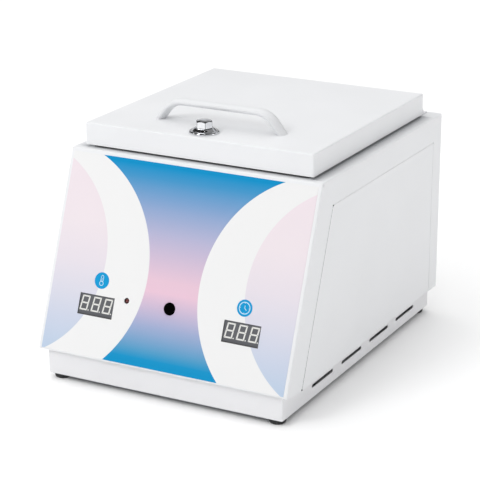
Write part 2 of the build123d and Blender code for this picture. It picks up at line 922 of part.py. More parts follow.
# straps round the tube, with feet welded to the tub's underside
strap_radius = heater_radius + clamp_sheet
strap_rise = chamber_bottom - heater_z
with BuildPart() as heater_clamps:
    for sx in (-1, 1):
        with BuildSketch(forward(chamber_middle + clamp_length / 2)):
            with Locations((sx * loop_x, heater_z)):
                Circle(strap_radius)
            with Locations((sx * loop_x, heater_z + strap_rise / 2)):
                Rectangle(2 * strap_radius, strap_rise)
            with Locations((sx * loop_x, chamber_bottom - clamp_sheet / 2)):
                Rectangle(2 * (strap_radius + clamp_foot), clamp_sheet)
            with Locations((sx * loop_x, heater_z)):
                Circle(heater_radius, mode=Mode.SUBTRACT)
            with Locations((sx * loop_x, heater_z + strap_rise / 2)):
                Rectangle(2 * heater_radius, strap_rise, mode=Mode.SUBTRACT)
            with Locations((sx * loop_x, chamber_bottom + strap_radius / 2)):
                Rectangle(2 * strap_radius, strap_radius, mode=Mode.SUBTRACT)
        extrude(amount=clamp_length)
finish(heater_clamps.part, "heater_clamps")

with BuildPart() as thermal_cutout:
    with Locations((0, chamber_middle, chamber_bottom)):
        Cylinder(cutout_radius, cutout_height, align=(Align.CENTER, Align.CENTER, Align.MAX))
    with Locations((0, chamber_middle, chamber_bottom - cutout_height)):
        Box(10, 3, 4, align=(Align.CENTER, Align.CENTER, Align.MAX))
    fillet(thermal_cutout.edges().filter_by(GeomType.CIRCLE).group_by(Axis.Z)[0], 0.8)
finish(thermal_cutout.part, "thermal_cutout")

with BuildPart() as temperature_probe:
    with BuildSketch(probe_plane):
        Circle(probe_radius)
    extrude(amount=probe_length)
    fillet(temperature_probe.faces().sort_by(Axis.Y)[-1].edges(), probe_radius * 0.8)
finish(temperature_probe.part, "temperature_probe")


# Rails on the chamber's side walls and the loose tray that rests on them
with BuildPart() as tray_rails:
    for sx in (-1, 1):
        with BuildSketch(Plane.XZ.offset(-(chamber_middle + rail_length / 2))):
            with Locations((sx * (chamber_width - rail_sheet) / 2, rail_top - rail_size / 2)):
                Rectangle(rail_sheet, rail_size)
            with Locations((sx * (chamber_width - rail_size) / 2, rail_top - rail_sheet / 2)):
                Rectangle(rail_size, rail_sheet)
        extrude(amount=rail_length)
finish(tray_rails.part, "tray_rails")

tray_width = chamber_width - 2 * tray_play
tray_length = chamber_length - 2 * tray_play
with BuildPart() as instrument_tray:
    with BuildSketch(level(rail_top)):
        with Locations((0, chamber_middle)):
            RectangleRounded(tray_width, tray_length, chamber_corner)
    extrude(amount=tray_height)
    with BuildSketch(level(rail_top + tray_sheet)):
        with Locations((0, chamber_middle)):
            RectangleRounded(
                tray_width - 2 * tray_sheet,
                tray_length - 2 * tray_sheet,
                chamber_corner - tray_sheet,
            )
    extrude(amount=tray_height, mode=Mode.SUBTRACT)
    with BuildSketch(level(rail_top)):
        with Locations((0, chamber_middle)):
            hole_pitch_x = tray_width / (tray_holes + 1)
            hole_pitch_y = tray_length / (tray_holes + 1)
            with GridLocations(hole_pitch_x, hole_pitch_y, tray_holes, tray_holes):
                Circle(tray_hole)
    extrude(amount=tray_sheet, mode=Mode.SUBTRACT)
finish(instrument_tray.part, "instrument_tray")


# Lid shell: top with folded skirts and an inward flange round the bottom
with BuildPart() as lid_shell:
    with BuildSketch(level(lid_low)):
        with Locations((0, lid_middle)):
            Rectangle(lid_width, lid_depth)
    extrude(amount=lid_height)
    fillet(lid_shell.edges().filter_by(Axis.Z), fold_radius)
    fillet(lid_shell.edges().group_by(Axis.Z)[-1], fold_radius)
    with BuildSketch(level(lid_low + sheet)):
        with Locations((0, lid_middle)):
            Rectangle(lid_width - 2 * sheet, lid_depth - 2 * sheet)
    extrude(amount=lid_height - 2 * sheet, mode=Mode.SUBTRACT)
    opening_y0 = lid_front + lid_front_flange
    opening_y1 = lid_back - lid_flange
    with BuildSketch(level(lid_low)):
        with Locations((0, (opening_y0 + opening_y1) / 2)):
            Rectangle(lid_width - 2 * lid_flange, opening_y1 - opening_y0)
    extrude(amount=2 * sheet, mode=Mode.SUBTRACT)
    with BuildSketch(level(lid_top)):
        with Locations((knob_offset, lid_front + knob_setback)):
            Circle(shaft_radius + running)
        with Locations(*handle_screw_places):
            Circle(m3[0])
    extrude(amount=-2 * sheet, mode=Mode.SUBTRACT)
    with BuildSketch(Plane.XZ.offset(-lid_back)):
        with Locations(*[(x, leaf_screw_z) for x in hinge_screw_x]):
            Circle(m3[0])
    extrude(amount=2 * sheet, mode=Mode.SUBTRACT)
    liner_screws_at = [
        (sx * (lid_width / 2 - lid_flange + 4.0), lid_middle + sy * lid_depth / 3)
        for sx in (-1, 1)
        for sy in (-0.6, 1)
    ]
    with BuildSketch(level(lid_low)):
        with Locations(*liner_screws_at):
            Circle(m3[0])
    extrude(amount=2 * sheet, mode=Mode.SUBTRACT)
finish(lid_shell.part, "lid_shell")

# Liner: stainless plate under the flange, folded up in front to close off the latch pocket
liner_half = lid_width / 2 - gasket_inset - gasket_width - 0.8
liner_y0 = lid_front + latch_pocket
liner_y1 = lid_back - gasket_inset - gasket_width - 0.8
with BuildPart() as lid_liner:
    with BuildSketch(level(lid_low)):
        with Locations((0, (liner_y0 + liner_y1) / 2)):
            Rectangle(2 * liner_half, liner_y1 - liner_y0)
        with Locations(*liner_screws_at):
            Circle(m3[0], mode=Mode.SUBTRACT)
    extrude(amount=-liner_sheet)
    with BuildSketch(level(lid_low - liner_sheet)):
        with Locations((0, liner_y0 + liner_sheet / 2)):
            Rectangle(lid_width - 2 * lid_flange, liner_sheet)
    extrude(amount=lid_height - sheet + liner_sheet)
finish(lid_liner.part, "lid_liner")

with BuildPart() as liner_screws:
    screws(level(lid_low - liner_sheet), liner_screws_at, thin_head, liner_screw_length)
finish(liner_screws.part, "liner_screws")

wool_y0 = liner_y0 + liner_sheet
wool_y1 = lid_back - sheet
with BuildPart() as lid_insulation:
    with BuildSketch(level(lid_low + sheet)):
        with Locations((0, (wool_y0 + wool_y1) / 2)):
            Rectangle(lid_width - 2 * sheet, wool_y1 - wool_y0)
        with Locations(*handle_screw_places):
            Circle(m3[1] + 1.0, mode=Mode.SUBTRACT)
        with Locations(*liner_screws_at):
            Circle(m3[0] + 0.5, mode=Mode.SUBTRACT)
        with Locations(*[(x, wool_y1) for x in hinge_screw_x]):
            Rectangle(3 * m3[0], 8, mode=Mode.SUBTRACT)
    extrude(amount=lid_height - 2 * sheet)
finish(lid_insulation.part, "lid_insulation")

with BuildPart() as lid_gasket:
    with BuildSketch(level(z_top + gasket_clearance)):
        with Locations((0, lid_middle)):
            RectangleRounded(lid_width - 2 * gasket_inset, lid_depth - 2 * gasket_inset, gasket_width)
            RectangleRounded(
                lid_width - 2 * gasket_inset - 2 * gasket_width,
                lid_depth - 2 * gasket_inset - 2 * gasket_width,
                1.0,
                mode=Mode.SUBTRACT,
            )
    extrude(amount=lid_gap - gasket_clearance)
finish(lid_gasket.part, "lid_gasket")


# Handle: oval bar bent into a bow with leaning legs, cut off level with the lid
lean = radians(handle_lean)
bend_drop = handle_bend * (1 - cos(lean))
leg_run = (handle_rise - bend_drop) / tan(lean)
bend_x = handle_span / 2 - leg_run - handle_bend * sin(lean)
below_x = handle_span / 2 + handle_thickness * cos(lean)
below_z = -handle_thickness * sin(lean)
handle_plane = Plane(origin=(0, handle_y, lid_top), x_dir=(1, 0, 0), z_dir=(0, -1, 0))
with BuildPart() as handle:
    with BuildLine(handle_plane) as bow:
        Line((-below_x, below_z), (leg_run - handle_span / 2, handle_rise - bend_drop))
        CenterArc(
            (-bend_x, handle_rise - handle_bend), handle_bend, 90 + handle_lean, -handle_lean
        )
        Line((-bend_x, handle_rise), (bend_x, handle_rise))
        CenterArc((bend_x, handle_rise - handle_bend), handle_bend, 90, -handle_lean)
        Line((handle_span / 2 - leg_run, handle_rise - bend_drop), (below_x, below_z))
    with BuildSketch(Plane(origin=bow.line @ 0, x_dir=(0, 1, 0), z_dir=bow.line % 0)):
        Ellipse(handle_width / 2, handle_thickness / 2)
    sweep()
    split(bisect_by=level(lid_top), keep=Keep.TOP)
    post(level(lid_top), handle_screw_places, m3[0], handle_screw_length - sheet, mode=Mode.SUBTRACT)
finish(handle.part, "handle")

with BuildPart() as handle_screws:
    screws(level(lid_top - sheet), handle_screw_places, m3, handle_screw_length)
finish(handle_screws.part, "handle_screws")


# Latch: hexagon knob on a turned rosette, its shaft carries the cam under the lid's top
knob_y = lid_front + knob_setback
knob_plane = Plane(origin=(knob_offset, knob_y, lid_top), x_dir=(1, 0, 0), z_dir=(0, -1, 0))
with BuildPart() as knob_rosette:
    with BuildSketch(knob_plane):
        with BuildLine():
            Line((shaft_radius + running, 0), (rosette_radius - 0.4, 0))
            rim = ThreePointArc(
                (rosette_radius - 0.4, 0),
                (rosette_radius, 0.8),
                (rosette_radius - 0.9, 2.0),
            )
            crown = Spline(
                rim @ 1,
                (rosette_radius - 3.2, 2.5),
                (rosette_neck + 1.3, 3.5),
                (rosette_neck, rosette_height),
            )
            Line(crown @ 1, (shaft_radius + running, rosette_height))
            Line((shaft_radius + running, rosette_height), (shaft_radius + running, 0))
        make_face()
    revolve(axis=Axis((knob_offset, knob_y, lid_top), (0, 0, 1)))
finish(knob_rosette.part, "knob_rosette")

cam_top = z_top + cam_lift + cam_thickness
head_low = lid_top + rosette_height + play
with BuildPart() as latch_knob:
    with BuildSketch(level(head_low)):
        with Locations((knob_offset, knob_y)):
            RegularPolygon(knob_flats / 2, 6, major_radius=False, rotation=knob_turn)
    extrude(amount=lid_top + knob_height - head_low)
    chamfer(latch_knob.faces().sort_by(Axis.Z)[-1].edges(), knob_chamfer)
    with BuildSketch(level(head_low)):
        with Locations((knob_offset, knob_y)):
            Circle(shaft_radius)
    extrude(amount=cam_top - head_low)
    with BuildSketch(level(cam_top)):
        with Locations((knob_offset, knob_y)):
            Circle(stud_radius)
    extrude(amount=-(cam_top - z_top - stud_tip))
finish(latch_knob.part, "latch_knob")

with BuildPart() as latch_cam:
    with BuildSketch(level(cam_top)):
        with Locations((knob_offset, knob_y - cam_length / 2)):
            Rectangle(cam_width, cam_length)
        with Locations((knob_offset, knob_y)):
            Circle(cam_width / 2)
        with Locations((knob_offset, knob_y)):
            Circle(stud_radius, mode=Mode.SUBTRACT)
    extrude(amount=-cam_thickness)
finish(latch_cam.part, "latch_cam")

with BuildPart() as latch_nut:
    with BuildSketch(level(cam_top - cam_thickness)):
        with Locations((knob_offset, knob_y)):
            RegularPolygon(nut_flats / 2, 6, major_radius=False)
            Circle(stud_radius, mode=Mode.SUBTRACT)
    extrude(amount=-nut_height)
finish(latch_nut.part, "latch_nut")

lip_low = cam_top + cam_play
with BuildPart() as latch_striker:
    with BuildSketch(Plane.XZ.offset(-(striker_y + striker_width / 2))):
        foot_x0 = striker_web_x - striker_foot
        closed_face(
            [
                (foot_x0, z_top),
                (striker_web_x, z_top),
                (striker_web_x, lip_low),
                (striker_lip_x, lip_low),
                (striker_lip_x, lip_low + striker_sheet),
                (striker_web_x - striker_sheet, lip_low + striker_sheet),
                (striker_web_x - striker_sheet, z_top + striker_sheet),
                (foot_x0, z_top + striker_sheet),
            ]
        )
    extrude(amount=striker_width)
    with BuildSketch(level(z_top)):
        with Locations(*striker_holes):
            Circle(m3[0])
    extrude(amount=striker_sheet, mode=Mode.SUBTRACT)
finish(latch_striker.part, "latch_striker")

with BuildPart() as striker_screws:
    places = [(x, -y) for x, y in striker_holes]
    screws(below(z_top + striker_sheet), places, m3, striker_sheet + sheet)
finish(striker_screws.part, "striker_screws")


# Hinge a little narrower than the lid: odd knuckles on the casing's leaf, even ones on the lid's
def knuckle_spans(first):
    for i in range(first, knuckle_count, 2):
        low = -hinge_width / 2 + i * hinge_pitch
        yield low, low + hinge_pitch


def knuckles(first):
    for low, high in knuckle_spans(first):
        post(
            Plane.YZ.offset(low + knuckle_gap / 2),
            [(hinge_y, hinge_z)],
            knuckle_radius,
            high - low - knuckle_gap,
        )


def clear_spans(first, y0, y1, z0, z1):
    """Notches that let the other leaf's knuckles turn."""
    for low, high in knuckle_spans(first):
        with Locations(((low + high) / 2, (y0 + y1) / 2, (z0 + z1) / 2)):
            Box(high - low + knuckle_gap, y1 - y0, z1 - z0, mode=Mode.SUBTRACT)


def pin_bore(radius):
    place = [(hinge_y, hinge_z)]
    post(Plane.YZ.offset(-hinge_width / 2), place, radius, hinge_width, mode=Mode.SUBTRACT)


knuckle_room = knuckle_radius + play
with BuildPart() as hinge_leaf_fixed:
    with Locations((0, hinge_y, z_top)):
        Box(hinge_width, leaf_reach, leaf_thickness, align=(Align.CENTER, Align.MIN, Align.MIN))
    clear_spans(1, hinge_y - 1, hinge_y + knuckle_room, z_top, z_top + leaf_thickness)
    for low, high in knuckle_spans(0):
        with Locations(((low + high) / 2, hinge_y, z_top)):
            Box(
                high - low - knuckle_gap,
                knuckle_radius,
                hinge_lift,
                align=(Align.CENTER, Align.MIN, Align.MIN),
            )
    knuckles(0)
    pin_bore(hinge_pin_radius)
    with Locations(*[(x, leaf_screw_y, z_top) for x in hinge_screw_x]):
        Cylinder(m3[0], 2 * leaf_thickness, mode=Mode.SUBTRACT)
finish(hinge_leaf_fixed.part, "hinge_leaf_fixed")

with BuildPart() as hinge_leaf_moving:
    with Locations((0, lid_back, hinge_z - leaf_thickness / 2)):
        Box(
            hinge_width,
            leaf_thickness,
            leaf_rise + leaf_thickness / 2,
            align=(Align.CENTER, Align.MIN, Align.MIN),
        )
        Box(
            hinge_width,
            hinge_standoff,
            leaf_thickness,
            align=(Align.CENTER, Align.MIN, Align.MIN),
        )
    clear_spans(0, hinge_y - knuckle_room, hinge_y + 1, hinge_z - 2, hinge_z + 2)
    knuckles(1)
    pin_bore(hinge_pin_radius + running)
    with BuildSketch(Plane.XZ.offset(-(lid_back + leaf_thickness))):
        with Locations(*[(x, leaf_screw_z) for x in hinge_screw_x]):
            Circle(m3[0])
    extrude(amount=leaf_thickness, mode=Mode.SUBTRACT)
finish(hinge_leaf_moving.part, "hinge_leaf_moving")

with BuildPart() as hinge_pin:
    with BuildSketch(Plane.YZ.offset(-hinge_width / 2)):
        with Locations((hinge_y, hinge_z)):
            Circle(hinge_pin_radius)
    extrude(amount=hinge_width)
finish(hinge_pin.part, "hinge_pin")

with BuildPart() as hinge_screws_fixed:
    places = [(x, -leaf_screw_y) for x in hinge_screw_x]
    screws(below(z_top + leaf_thickness), places, low_head, hinge_screw_length)
finish(hinge_screws_fixed.part, "hinge_screws_fixed")

with BuildPart() as hinge_screws_moving:
    places = [(x, leaf_screw_z) for x in hinge_screw_x]
    screws(forward(lid_back + leaf_thickness), places, low_head, hinge_screw_length)
finish(hinge_screws_moving.part, "hinge_screws_moving")


# Mains inlet: flange outside, body through the panel, three blades in the socket
with BuildPart() as power_inlet:
    with BuildSketch(back_plane):
        with Locations((inlet_offset, inlet_level)):
            RectangleRounded(inlet_width, inlet_height, 4)
        with Locations(*[(x, inlet_level) for x in inlet_screws_x]):
            Circle(m3[0], mode=Mode.SUBTRACT)
    extrude(amount=inlet_flange)
    with BuildSketch(back_plane.offset(inlet_flange)):
        with Locations(*[(x, inlet_level) for x in inlet_screws_x]):
            Circle(low_head[1])
    extrude(amount=-low_head[2], mode=Mode.SUBTRACT)
    with BuildSketch(back_plane):
        with Locations((inlet_offset, inlet_level)):
            Rectangle(inlet_body[0], inlet_body[1])
    extrude(amount=-inlet_body[2])
    with BuildSketch(back_plane.offset(inlet_flange)):
        with Locations((inlet_offset, inlet_level)):
            Rectangle(socket_size[0], socket_size[1])
        with Locations(
            (inlet_offset - socket_size[0] / 2, inlet_level + socket_size[1] / 2),
            (inlet_offset + socket_size[0] / 2, inlet_level + socket_size[1] / 2),
        ):
            Rectangle(socket_corner, socket_corner, rotation=45, mode=Mode.SUBTRACT)
    extrude(amount=-socket_depth, mode=Mode.SUBTRACT)
    inlet_pin_places = [
        (inlet_offset + k * blade_pitch, inlet_level + (blade_rise if k == 0 else -blade_rise))
        for k in (-1, 0, 1)
    ]
    with BuildSketch(back_plane):
        with Locations(*inlet_pin_places):
            Rectangle(*blade_size)
    extrude(amount=-inlet_body[2], mode=Mode.SUBTRACT)
finish(power_inlet.part, "power_inlet")

with BuildPart() as inlet_pins:
    with BuildSketch(back_plane.offset(inlet_flange - inlet_pin_recess)):
        with Locations(*inlet_pin_places):
            Rectangle(*blade_size)
    extrude(amount=-(inlet_body[2] - 1.0))
finish(inlet_pins.part, "inlet_pins")

with BuildPart() as inlet_screws:
    places = [(-x, z_side + inlet_level) for x in inlet_screws_x]
    screws(forward(y_back + inlet_flange - low_head[2]), places, low_head, inlet_screw_length)
finish(inlet_screws.part, "inlet_screws")


# Mains switch: frame with a bezel and a rocker on two short trunnions
with BuildPart() as switch_frame:
    with BuildSketch(back_plane):
        with Locations((switch_offset, inlet_level)):
            RectangleRounded(bezel_width, bezel_height, 2)
    extrude(amount=bezel_thickness)
    fillet(switch_frame.faces().sort_by(Axis.Y)[-1].edges(), 0.6)
    with BuildSketch(back_plane):
        with Locations((switch_offset, inlet_level)):
            Rectangle(bezel_width - bezel_wall, bezel_height - bezel_wall)
    extrude(amount=-switch_body_depth)
    with BuildSketch(back_plane.offset(bezel_thickness)):
        with Locations((switch_offset, inlet_level)):
            Rectangle(bezel_width - 2 * bezel_wall, bezel_height - 2 * bezel_wall)
    extrude(amount=-(bezel_thickness + switch_body_depth - 1.5), mode=Mode.SUBTRACT)
    pivot_y = y_back + bezel_thickness - rocker_pivot_depth
    pivot_z = z_side + inlet_level
    with BuildSketch(Plane.YZ.offset(-switch_offset - bezel_width / 2)):
        with Locations((pivot_y, pivot_z)):
            Circle(rocker_pin_radius + running)
    extrude(amount=bezel_width, mode=Mode.SUBTRACT)
finish(switch_frame.part, "switch_frame")

rocker_half = (bezel_height - 2 * bezel_wall) / 2 - rocker_play - 0.8
rocker_width = bezel_width - 2 * bezel_wall - 2 * rocker_play
tilt = radians(rocker_tilt)
rocker_plane = Plane(
    origin=(-switch_offset - rocker_width / 2, pivot_y, pivot_z),
    x_dir=(0, cos(tilt), sin(tilt)),
    z_dir=(1, 0, 0),
)
with BuildPart() as rocker:
    with BuildSketch(rocker_plane):
        closed_face(
            [
                (rocker_tip, rocker_half),
                (rocker_tip - 1.2, 0),
                (rocker_tip, -rocker_half),
                (0, -rocker_half + 0.8),
                (-4.5, -3.5),
                (-4.5, 3.5),
                (0, rocker_half - 0.8),
            ]
        )
    extrude(amount=rocker_width)
    with BuildSketch(Plane.YZ.offset(-switch_offset - rocker_width / 2 - rocker_play - 1.2)):
        with Locations((pivot_y, pivot_z)):
            Circle(rocker_pin_radius)
    extrude(amount=rocker_width + 2 * rocker_play + 2.4)
finish(rocker.part, "rocker")


# Earth stud with its nut, on the bottom plate near the inlet
earth_place = [(-inlet_offset, base_y1 - earth_setback)]
with BuildPart() as earth_stud:
    post(level(z_frame), earth_place, m4[0], earth_height)
    post(level(z_frame), earth_place, *earth_nut)
finish(earth_stud.part, "earth_stud")
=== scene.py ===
import json
from math import atan2, cos, pi, radians, sin

import bpy
from mathutils import Matrix, Vector

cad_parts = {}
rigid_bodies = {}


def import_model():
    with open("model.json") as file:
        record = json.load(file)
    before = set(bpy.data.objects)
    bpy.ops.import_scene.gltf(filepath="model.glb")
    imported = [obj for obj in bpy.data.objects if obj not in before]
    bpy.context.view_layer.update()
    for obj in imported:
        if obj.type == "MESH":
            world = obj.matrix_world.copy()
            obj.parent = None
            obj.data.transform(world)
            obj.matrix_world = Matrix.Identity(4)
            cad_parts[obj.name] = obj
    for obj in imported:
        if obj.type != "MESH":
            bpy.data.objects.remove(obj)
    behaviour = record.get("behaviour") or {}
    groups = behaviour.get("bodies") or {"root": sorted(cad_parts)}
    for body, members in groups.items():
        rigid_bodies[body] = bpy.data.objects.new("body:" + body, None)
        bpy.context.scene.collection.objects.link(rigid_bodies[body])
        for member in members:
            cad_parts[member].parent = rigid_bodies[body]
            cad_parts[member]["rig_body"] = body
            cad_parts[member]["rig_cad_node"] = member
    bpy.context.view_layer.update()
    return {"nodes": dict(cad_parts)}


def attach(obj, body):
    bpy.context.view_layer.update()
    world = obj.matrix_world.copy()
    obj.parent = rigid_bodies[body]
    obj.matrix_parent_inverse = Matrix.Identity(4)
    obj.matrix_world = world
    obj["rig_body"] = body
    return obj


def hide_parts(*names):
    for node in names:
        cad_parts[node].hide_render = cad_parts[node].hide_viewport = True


# Dry heat sterilizer: looks of the painted casing, the printed panel, the controls, the lid with
# its bow handle and latch knob, the hinge, the chamber and the back. Metres.

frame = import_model()

mm = 0.001
front_y = -178.316 * mm
back_y = 174.684 * mm
edge_z = 31.0 * mm
side_z = 27.5 * mm
top_z = 214.5 * mm
slope = atan2(70.0, 183.5)
slope_length = 196.4 * mm
lid_top = 238.8 * mm
lid_low = 217.2 * mm
lid_front = -103.116 * mm
lid_back = 151.884 * mm
handle_y = -55.116 * mm
lid_middle_y = (lid_front + lid_back) / 2
knob_x, knob_y = -2.5 * mm, -83.116 * mm
knob_turn = radians(6.5)
hinge_y, hinge_z = 157.884 * mm, 218.1 * mm
base_front_y, base_back_y = -171.816 * mm, 169.684 * mm
foot_x = 0.116
foot_front_y, foot_back_y = -161.816 * mm, 159.684 * mm

# On the slope, across from its middle and up from its lower edge
display_offset, display_level = 77.6 * mm, 50.4 * mm
control_level = 60.5 * mm

panel = Matrix.Translation((0, front_y, edge_z)) @ Matrix.Rotation(pi / 2 - slope, 4, "X")
facing_back = Matrix.Rotation(pi, 4, "Z") @ Matrix.Rotation(pi / 2, 4, "X")


# Shaping by hand: a primitive at its size, points and faces picked by place, then edit tools
def object_mode():
    if bpy.context.object and bpy.context.object.mode != "OBJECT":
        bpy.ops.object.mode_set(mode="OBJECT")


def only(obj):
    object_mode()
    bpy.ops.object.select_all(action="DESELECT")
    obj.select_set(True)
    bpy.context.view_layer.objects.active = obj


def named(name):
    obj = bpy.context.object
    obj.name = name
    obj.data.name = name
    return obj


def apply_place(obj):
    only(obj)
    bpy.ops.object.transform_apply(location=True, rotation=True, scale=True)


def pick(obj, faces=None, edges=None, points=None):
    """Goes into edit mode with the faces, edges or points selected that pass a test."""
    only(obj)
    bpy.ops.object.mode_set(mode="EDIT")
    kind = "FACE" if faces else "EDGE" if edges else "VERT"
    bpy.ops.mesh.select_mode(type=kind)
    bpy.ops.mesh.select_all(action="DESELECT")
    bpy.ops.object.mode_set(mode="OBJECT")
    mesh = obj.data
    if faces:
        for face in mesh.polygons:
            face.select = bool(faces(face.center, face.normal))
    elif edges:
        for edge in mesh.edges:
            a, b = (mesh.vertices[i].co for i in edge.vertices)
            edge.select = bool(edges(a, b))
    else:
        for point in mesh.vertices:
            point.select = bool(points(point.co))
    bpy.ops.object.mode_set(mode="EDIT")


def block(name, size, centre):
    object_mode()
    bpy.ops.mesh.primitive_cube_add(size=1, location=centre)
    obj = named(name)
    obj.scale = size
    apply_place(obj)
    return obj


def round_bar(name, radius, length, centre, steps=48):
    object_mode()
    bpy.ops.mesh.primitive_cylinder_add(vertices=steps, radius=radius, depth=length, location=centre)
    obj = named(name)
    apply_place(obj)
    return obj


def faired(obj, angle=30):
    """Smooth shading across its curves, with every large flat kept flat."""
    only(obj)
    bpy.ops.object.shade_smooth_by_angle(angle=radians(angle))
    weighted = obj.modifiers.new("flat_flats", "WEIGHTED_NORMAL")
    weighted.weight = 100
    weighted.keep_sharp = True
    bpy.ops.object.modifier_apply(modifier="flat_flats")
    return obj


def soften(obj, width, segments=3, angle=35, smooth=40):
    """Rounds the sharp edges and smooths the rest."""
    only(obj)
    bevel = obj.modifiers.new("soft_edges", "BEVEL")
    bevel.width = width
    bevel.segments = segments
    bevel.limit_method = "ANGLE"
    bevel.angle_limit = radians(angle)
    bevel.harden_normals = False
    bpy.ops.object.modifier_apply(modifier="soft_edges")
    return faired(obj, smooth)


def turned(name, profile, centre, steps=48):
    """A turned piece: a profile of (radius, height) points drawn out and spun round +Z."""
    object_mode()
    bpy.ops.mesh.primitive_plane_add(size=0.001, location=(0, 0, 0))
    obj = named(name)
    only(obj)
    bpy.ops.object.mode_set(mode="EDIT")
    bpy.ops.mesh.select_mode(type="VERT")
    bpy.ops.mesh.select_all(action="SELECT")
    bpy.ops.mesh.merge(type="CENTER")
    start = Vector((profile[0][0], 0, profile[0][1]))
    bpy.ops.transform.translate(value=start)
    place = start
    for radius, height in profile[1:]:
        spot = Vector((radius, 0, height))
        bpy.ops.mesh.extrude_vertices_move(TRANSFORM_OT_translate={"value": spot - place})
        place = spot
    bpy.ops.mesh.select_all(action="SELECT")
    bpy.ops.mesh.spin(steps=steps, angle=2 * pi, center=(0, 0, 0), axis=(0, 0, 1))
    bpy.ops.mesh.select_all(action="SELECT")
    bpy.ops.mesh.remove_doubles(threshold=0.00001)
    bpy.ops.mesh.normals_make_consistent(inside=False)
    bpy.ops.object.mode_set(mode="OBJECT")
    obj.location = centre
    apply_place(obj)
    bpy.ops.object.shade_smooth_by_angle(angle=radians(38))
    return obj


def placed(obj, matrix):
    """Puts a piece drawn at the origin onto a face, with its place in its mesh."""
    obj.matrix_world = matrix @ obj.matrix_world
    apply_place(obj)
    return obj


def copy_at(obj, name, offset):
    only(obj)
    bpy.ops.object.duplicate(linked=False)
    twin = named(name)
    twin.location = offset
    apply_place(twin)
    return twin


def joined(name, objs):
    object_mode()
    bpy.ops.object.select_all(action="DESELECT")
    for obj in objs:
        obj.select_set(True)
    bpy.context.view_layer.objects.active = objs[0]
    bpy.ops.object.join()
    return named(name)


def refined(node, width=0.0002, segments=2, angle=35, flats=True):
    """A fair copy of a sheet or moulded piece: its mesh merged, its flats cleaned, its edges softened."""
    source = frame["nodes"][node]
    only(source)
    bpy.ops.object.duplicate(linked=False)
    obj = named(node + "_finished")
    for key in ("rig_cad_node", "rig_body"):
        if key in obj:
            del obj[key]
    obj.parent = None
    only(obj)
    bpy.ops.mesh.customdata_custom_splitnormals_clear()
    bpy.ops.object.mode_set(mode="EDIT")
    bpy.ops.mesh.select_mode(type="VERT")
    bpy.ops.mesh.select_all(action="SELECT")
    bpy.ops.mesh.remove_doubles(threshold=0.000004)
    if flats:
        bpy.ops.mesh.dissolve_limited(angle_limit=radians(0.8))
    bpy.ops.object.mode_set(mode="OBJECT")
    if width:
        soften(obj, width, segments, angle)
    else:
        faired(obj)
    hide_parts(node)
    return obj


# Materials
def link(tree, a, b):
    tree.links.new(a, b)


def node_of(tree, kind, **values):
    node = tree.nodes.new(kind)
    for key, value in values.items():
        setattr(node, key, value)
    return node


def maths(tree, operation, a, b=None):
    node = node_of(tree, "ShaderNodeMath", operation=operation)
    for socket, value in zip(node.inputs, (a, b)):
        if value is None:
            continue
        if isinstance(value, (int, float)):
            socket.default_value = value
        else:
            link(tree, value, socket)
    return node.outputs[0]


def new_group(name, inputs, outputs):
    tree = bpy.data.node_groups.new(name, "ShaderNodeTree")
    for socket, kind, value in inputs:
        made = tree.interface.new_socket(name=socket, in_out="INPUT", socket_type=kind)
        if value is not None:
            made.default_value = value
    for socket, kind in outputs:
        tree.interface.new_socket(name=socket, in_out="OUTPUT", socket_type=kind)
    return tree, node_of(tree, "NodeGroupInput"), node_of(tree, "NodeGroupOutput")


def make_fine_grain():
    """Powder coat, moulded plastic and rubber: a fine skin and a slow cloudiness."""
    tree, given, out = new_group(
        "fine_grain",
        [("Vector", "NodeSocketVector", None), ("Scale", "NodeSocketFloat", 900.0)],
        [("Height", "NodeSocketFloat"), ("Cloud", "NodeSocketFloat")],
    )
    skin = node_of(tree, "ShaderNodeTexNoise")
    skin.inputs["Detail"].default_value = 3.0
    link(tree, given.outputs["Vector"], skin.inputs["Vector"])
    link(tree, given.outputs["Scale"], skin.inputs["Scale"])
    cloud = node_of(tree, "ShaderNodeTexNoise")
    cloud.inputs["Scale"].default_value = 14.0
    cloud.inputs["Detail"].default_value = 2.0
    link(tree, given.outputs["Vector"], cloud.inputs["Vector"])
    link(tree, skin.outputs["Fac"], out.inputs["Height"])
    link(tree, cloud.outputs["Fac"], out.inputs["Cloud"])
    return tree


def make_brushed_lines():
    """Drawn or brushed metal: long streaks along one axis, set by the stretch."""
    tree, given, out = new_group(
        "brushed_lines",
        [("Vector", "NodeSocketVector", None), ("Stretch", "NodeSocketVector", (40.0, 2500.0, 2500.0))],
        [("Height", "NodeSocketFloat"), ("Streak", "NodeSocketFloat")],
    )
    scaled = node_of(tree, "ShaderNodeVectorMath", operation="MULTIPLY")
    link(tree, given.outputs["Vector"], scaled.inputs[0])
    link(tree, given.outputs["Stretch"], scaled.inputs[1])
    lines = node_of(tree, "ShaderNodeTexNoise")
    lines.inputs["Scale"].default_value = 1.0
    lines.inputs["Detail"].default_value = 4.0
    link(tree, scaled.outputs[0], lines.inputs["Vector"])
    link(tree, lines.outputs["Fac"], out.inputs["Height"])
    link(tree, lines.outputs["Fac"], out.inputs["Streak"])
    return tree


